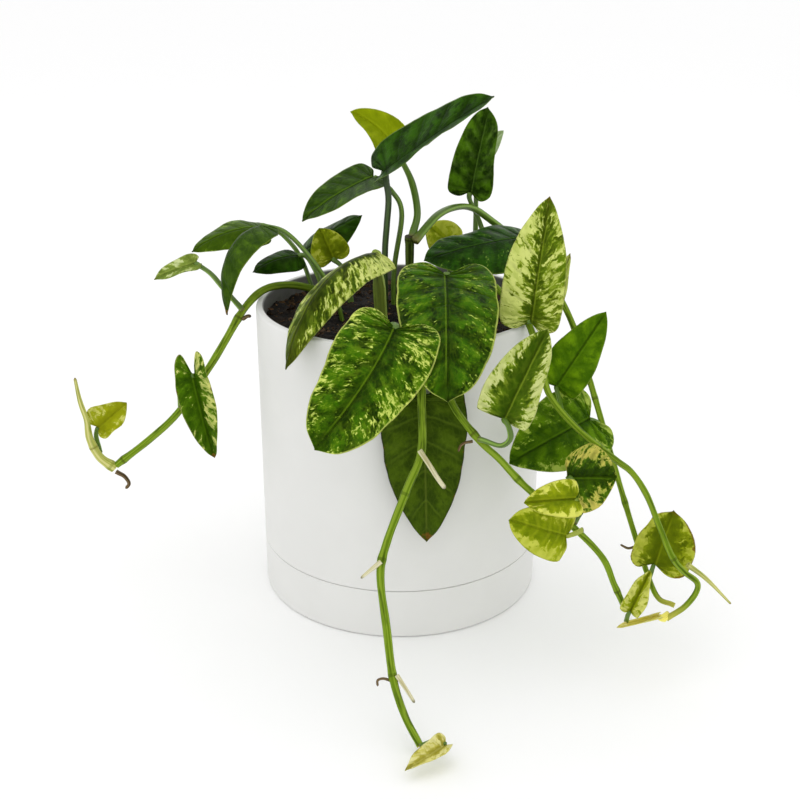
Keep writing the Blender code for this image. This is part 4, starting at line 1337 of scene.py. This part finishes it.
class PLANT_OT_pot(bpy.types.Operator):
    """Builds the pot and the saucer that it stands in"""

    bl_idname = "plant.pot"
    bl_label = "Pot and saucer"

    def execute(self, context):
        form = context.scene.plant_pot
        gap = 0.0003  # between pot and saucer
        tray_floor = 0.003
        underside = tray_floor + gap
        pot_floor = underside + 0.005
        drain = 0.006
        inner = form.radius - form.wall
        tray_inner = form.radius - 0.0034
        foot = tray_inner - gap
        foot_inner = foot - form.wall
        shoulder = form.seam + gap
        saucer = rounded(
            (
                (0.0, 0.0006, 0),
                (form.radius - 0.010, 0.0006, 0.0004),
                (form.radius - 0.011, 0.0, 0.0004),
                (form.radius, 0.0, 0.0016),
                (form.radius, form.seam, 0.0005),
                (tray_inner, form.seam, 0.0006),
                (tray_inner, tray_floor, 0.0012),
                (0.0, tray_floor, 0),
            )
        )
        pot = rounded(
            (
                (drain, underside, 0),
                (foot, underside, 0.001),
                (foot, shoulder, 0),
                (form.radius, shoulder, 0.0005),
                (form.radius, form.height, 0.0016),
                (inner, form.height, 0.0014),
                (inner, shoulder + form.wall, 0.001),
                (foot_inner, shoulder, 0.001),
                (foot_inner, pot_floor, 0.001),
                (drain, pot_floor, 0),
            )
        )
        for name, profile in (("saucer", saucer), ("pot", pot)):
            skin = ceramic_material("matt_white_" + name, form.colour, inner)
            show("white_" + name, turned(name, profile, TURN_STEPS), [skin], slot_of(name), name)
        return {"FINISHED"}


class PLANT_OT_soil(bpy.types.Operator):
    """Fills the pot with soil and scatters bark chips and crumbs on it"""

    bl_idname = "plant.soil"
    bl_label = "Soil"

    def execute(self, context):
        form = context.scene.plant_soil
        pot = context.scene.plant_pot
        inner = (pot.radius - pot.wall) / MM - 0.1
        slot = slot_of("potting_soil")
        skin = soil_material("soil", (8, 6, 4), (34, 25, 16))
        soil = show("soil", soil_mesh(inner), [skin], slot, "potting_soil")
        group = scatter_tree()
        kinds = (  # name, number on a square metre, sizes of two lumps, darkest and lightest shade
            ("bark_chips", form.chips, ((5.2, 3.4, 1.5), (7.5, 2.4, 1.7)), (10, 7, 4), (88, 64, 40)),
            ("soil_crumbs", form.crumbs, ((1.5, 1.2, 1.0), (2.6, 1.0, 0.8)), (8, 6, 4), (44, 33, 22)),
        )
        for seed, (name, density, sizes, dark, light) in enumerate(kinds):
            lumps = [pebble(name + "_lump", 11 + 10 * seed + i, size, 12) for i, size in enumerate(sizes)]
            values = {
                "Lump": lumps[0],
                "Other lump": lumps[1],
                "Density": density,
                "Smallest": 0.5,
                "Largest": 1.5,
                "Level": CHIPS_FROM * MM,
                "Seed": 4 + seed,
                "Skin": bark_material(name, dark, light),
            }
            mesh = grow(name, soil.data.copy(), group, values)
            mesh.shade_flat()
            for lump in lumps:
                bpy.data.objects.remove(lump, do_unlink=True)
            show(name, mesh, [], slot)
        return {"FINISHED"}


class PLANT_OT_shoots(bpy.types.Operator):
    """Grows the trailing shoots, their dry sheaths and their roots"""

    bl_idname = "plant.shoots"
    bl_label = "Shoots"

    def execute(self, context):
        group = shoot_tree()
        skins = {look: shoot_material(look) for look in SHOOT_TONES}
        nub = pebble("nub", 5, (1.9, 1.9, 2.4), 16)
        for seed, (name, form) in enumerate(SHOOTS.items()):
            foot = SOIL_FOOT if in_soil(form.route[0]) else SHOOT_FOOT
            line = shoot_line(name, form, foot)
            values = {
                "Sides": 16 if form.radius > 1.6 else 10,
                "Skin": skins[form.look],
                "Nub": nub,
                "Nub size": form.radius / 2.4,
                "Seed": seed,
            }
            show("grown_" + name, grow(name, line, group, values), [], slot_of(name), name)
        bpy.data.objects.remove(nub, do_unlink=True)
        return {"FINISHED"}


class PLANT_OT_leaves(bpy.types.Operator):
    """Grows every leaf with its stalk"""

    bl_idname = "plant.leaves"
    bl_label = "Leaves"

    def execute(self, context):
        thickness = context.scene.plant_leaf.thickness / MM
        for seed, (name, form) in enumerate(LEAVES.items()):
            leaf(name, form, thickness, seed + 1)
        return {"FINISHED"}


class PLANT_OT_stage(bpy.types.Operator):
    """Sets the pale floor, the soft light and the camera"""

    bl_idname = "plant.stage"
    bl_label = "Floor, light and camera"

    def execute(self, context):
        form = context.scene.plant_stage
        scene = context.scene
        steps = 64
        turns = [math.tau * i / steps for i in range(steps)]
        rim = [(form.floor * math.cos(turn), form.floor * math.sin(turn), 0) for turn in turns]
        mesh = bpy.data.meshes.new("floor")
        mesh.from_pydata(rim, [], [tuple(range(steps))])
        mesh.materials.append(floor_material("floor", form.floor_colour))
        floor = bpy.data.objects.new("floor", mesh)
        floor.location.z = -0.0002
        scene.collection.objects.link(floor)

        world = bpy.data.worlds.new("studio")
        world.use_nodes = True
        light = world.node_tree.nodes["Background"]
        light.inputs["Color"].default_value = (1.0, 1.0, 1.0, 1.0)
        light.inputs["Strength"].default_value = form.sky
        scene.world = world

        for name, place, size, power in (
            ("key", (-0.5, -0.5, 1.6), 1.1, form.key),
            ("top", (0.3, -0.1, 1.8), 1.4, form.key * 0.6),
        ):
            data = bpy.data.lights.new(name, "AREA")
            data.energy = power
            data.size = size
            lamp = bpy.data.objects.new(name, data)
            lamp.location = place
            aim = Vector((0, 0, 0.12)) - Vector(place)
            lamp.rotation_euler = aim.to_track_quat("-Z", "Y").to_euler()
            scene.collection.objects.link(lamp)

        data = bpy.data.cameras.new("camera")
        data.lens = form.lens
        data.sensor_width = FILM_WIDTH
        camera = bpy.data.objects.new("camera", data)
        camera.location = EYE
        camera.rotation_euler = (math.radians(EYE_TILT), 0.0, 0.0)
        scene.collection.objects.link(camera)
        scene.camera = camera
        scene.view_settings.view_transform = "Standard"
        return {"FINISHED"}


class PLANT_PT_panel(bpy.types.Panel):
    bl_label = "Potted pothos"
    bl_idname = "PLANT_PT_panel"
    bl_space_type = "VIEW_3D"
    bl_region_type = "UI"
    bl_category = "Plant"

    def draw(self, context):
        for name, kind in SETTINGS.items():
            box = self.layout.box()
            for label in kind.__annotations__:
                box.prop(getattr(context.scene, name), label)
        for operator in OPERATORS:
            self.layout.operator(operator.bl_idname)


OPERATORS = (PLANT_OT_stage, PLANT_OT_pot, PLANT_OT_soil, PLANT_OT_shoots, PLANT_OT_leaves)
CLASSES = (*SETTINGS.values(), *OPERATORS, PLANT_PT_panel)


def register():
    for cls in CLASSES:
        bpy.utils.register_class(cls)
    for name, kind in SETTINGS.items():
        setattr(bpy.types.Scene, name, bpy.props.PointerProperty(type=kind))


def unregister():
    for name in SETTINGS:
        delattr(bpy.types.Scene, name)
    for cls in reversed(CLASSES):
        bpy.utils.unregister_class(cls)


def main():
    register()
    bpy.ops.plant.stage()
    bpy.ops.plant.pot()
    bpy.ops.plant.soil()
    bpy.ops.plant.shoots()
    bpy.ops.plant.leaves()


if __name__ == "__main__":
    main()
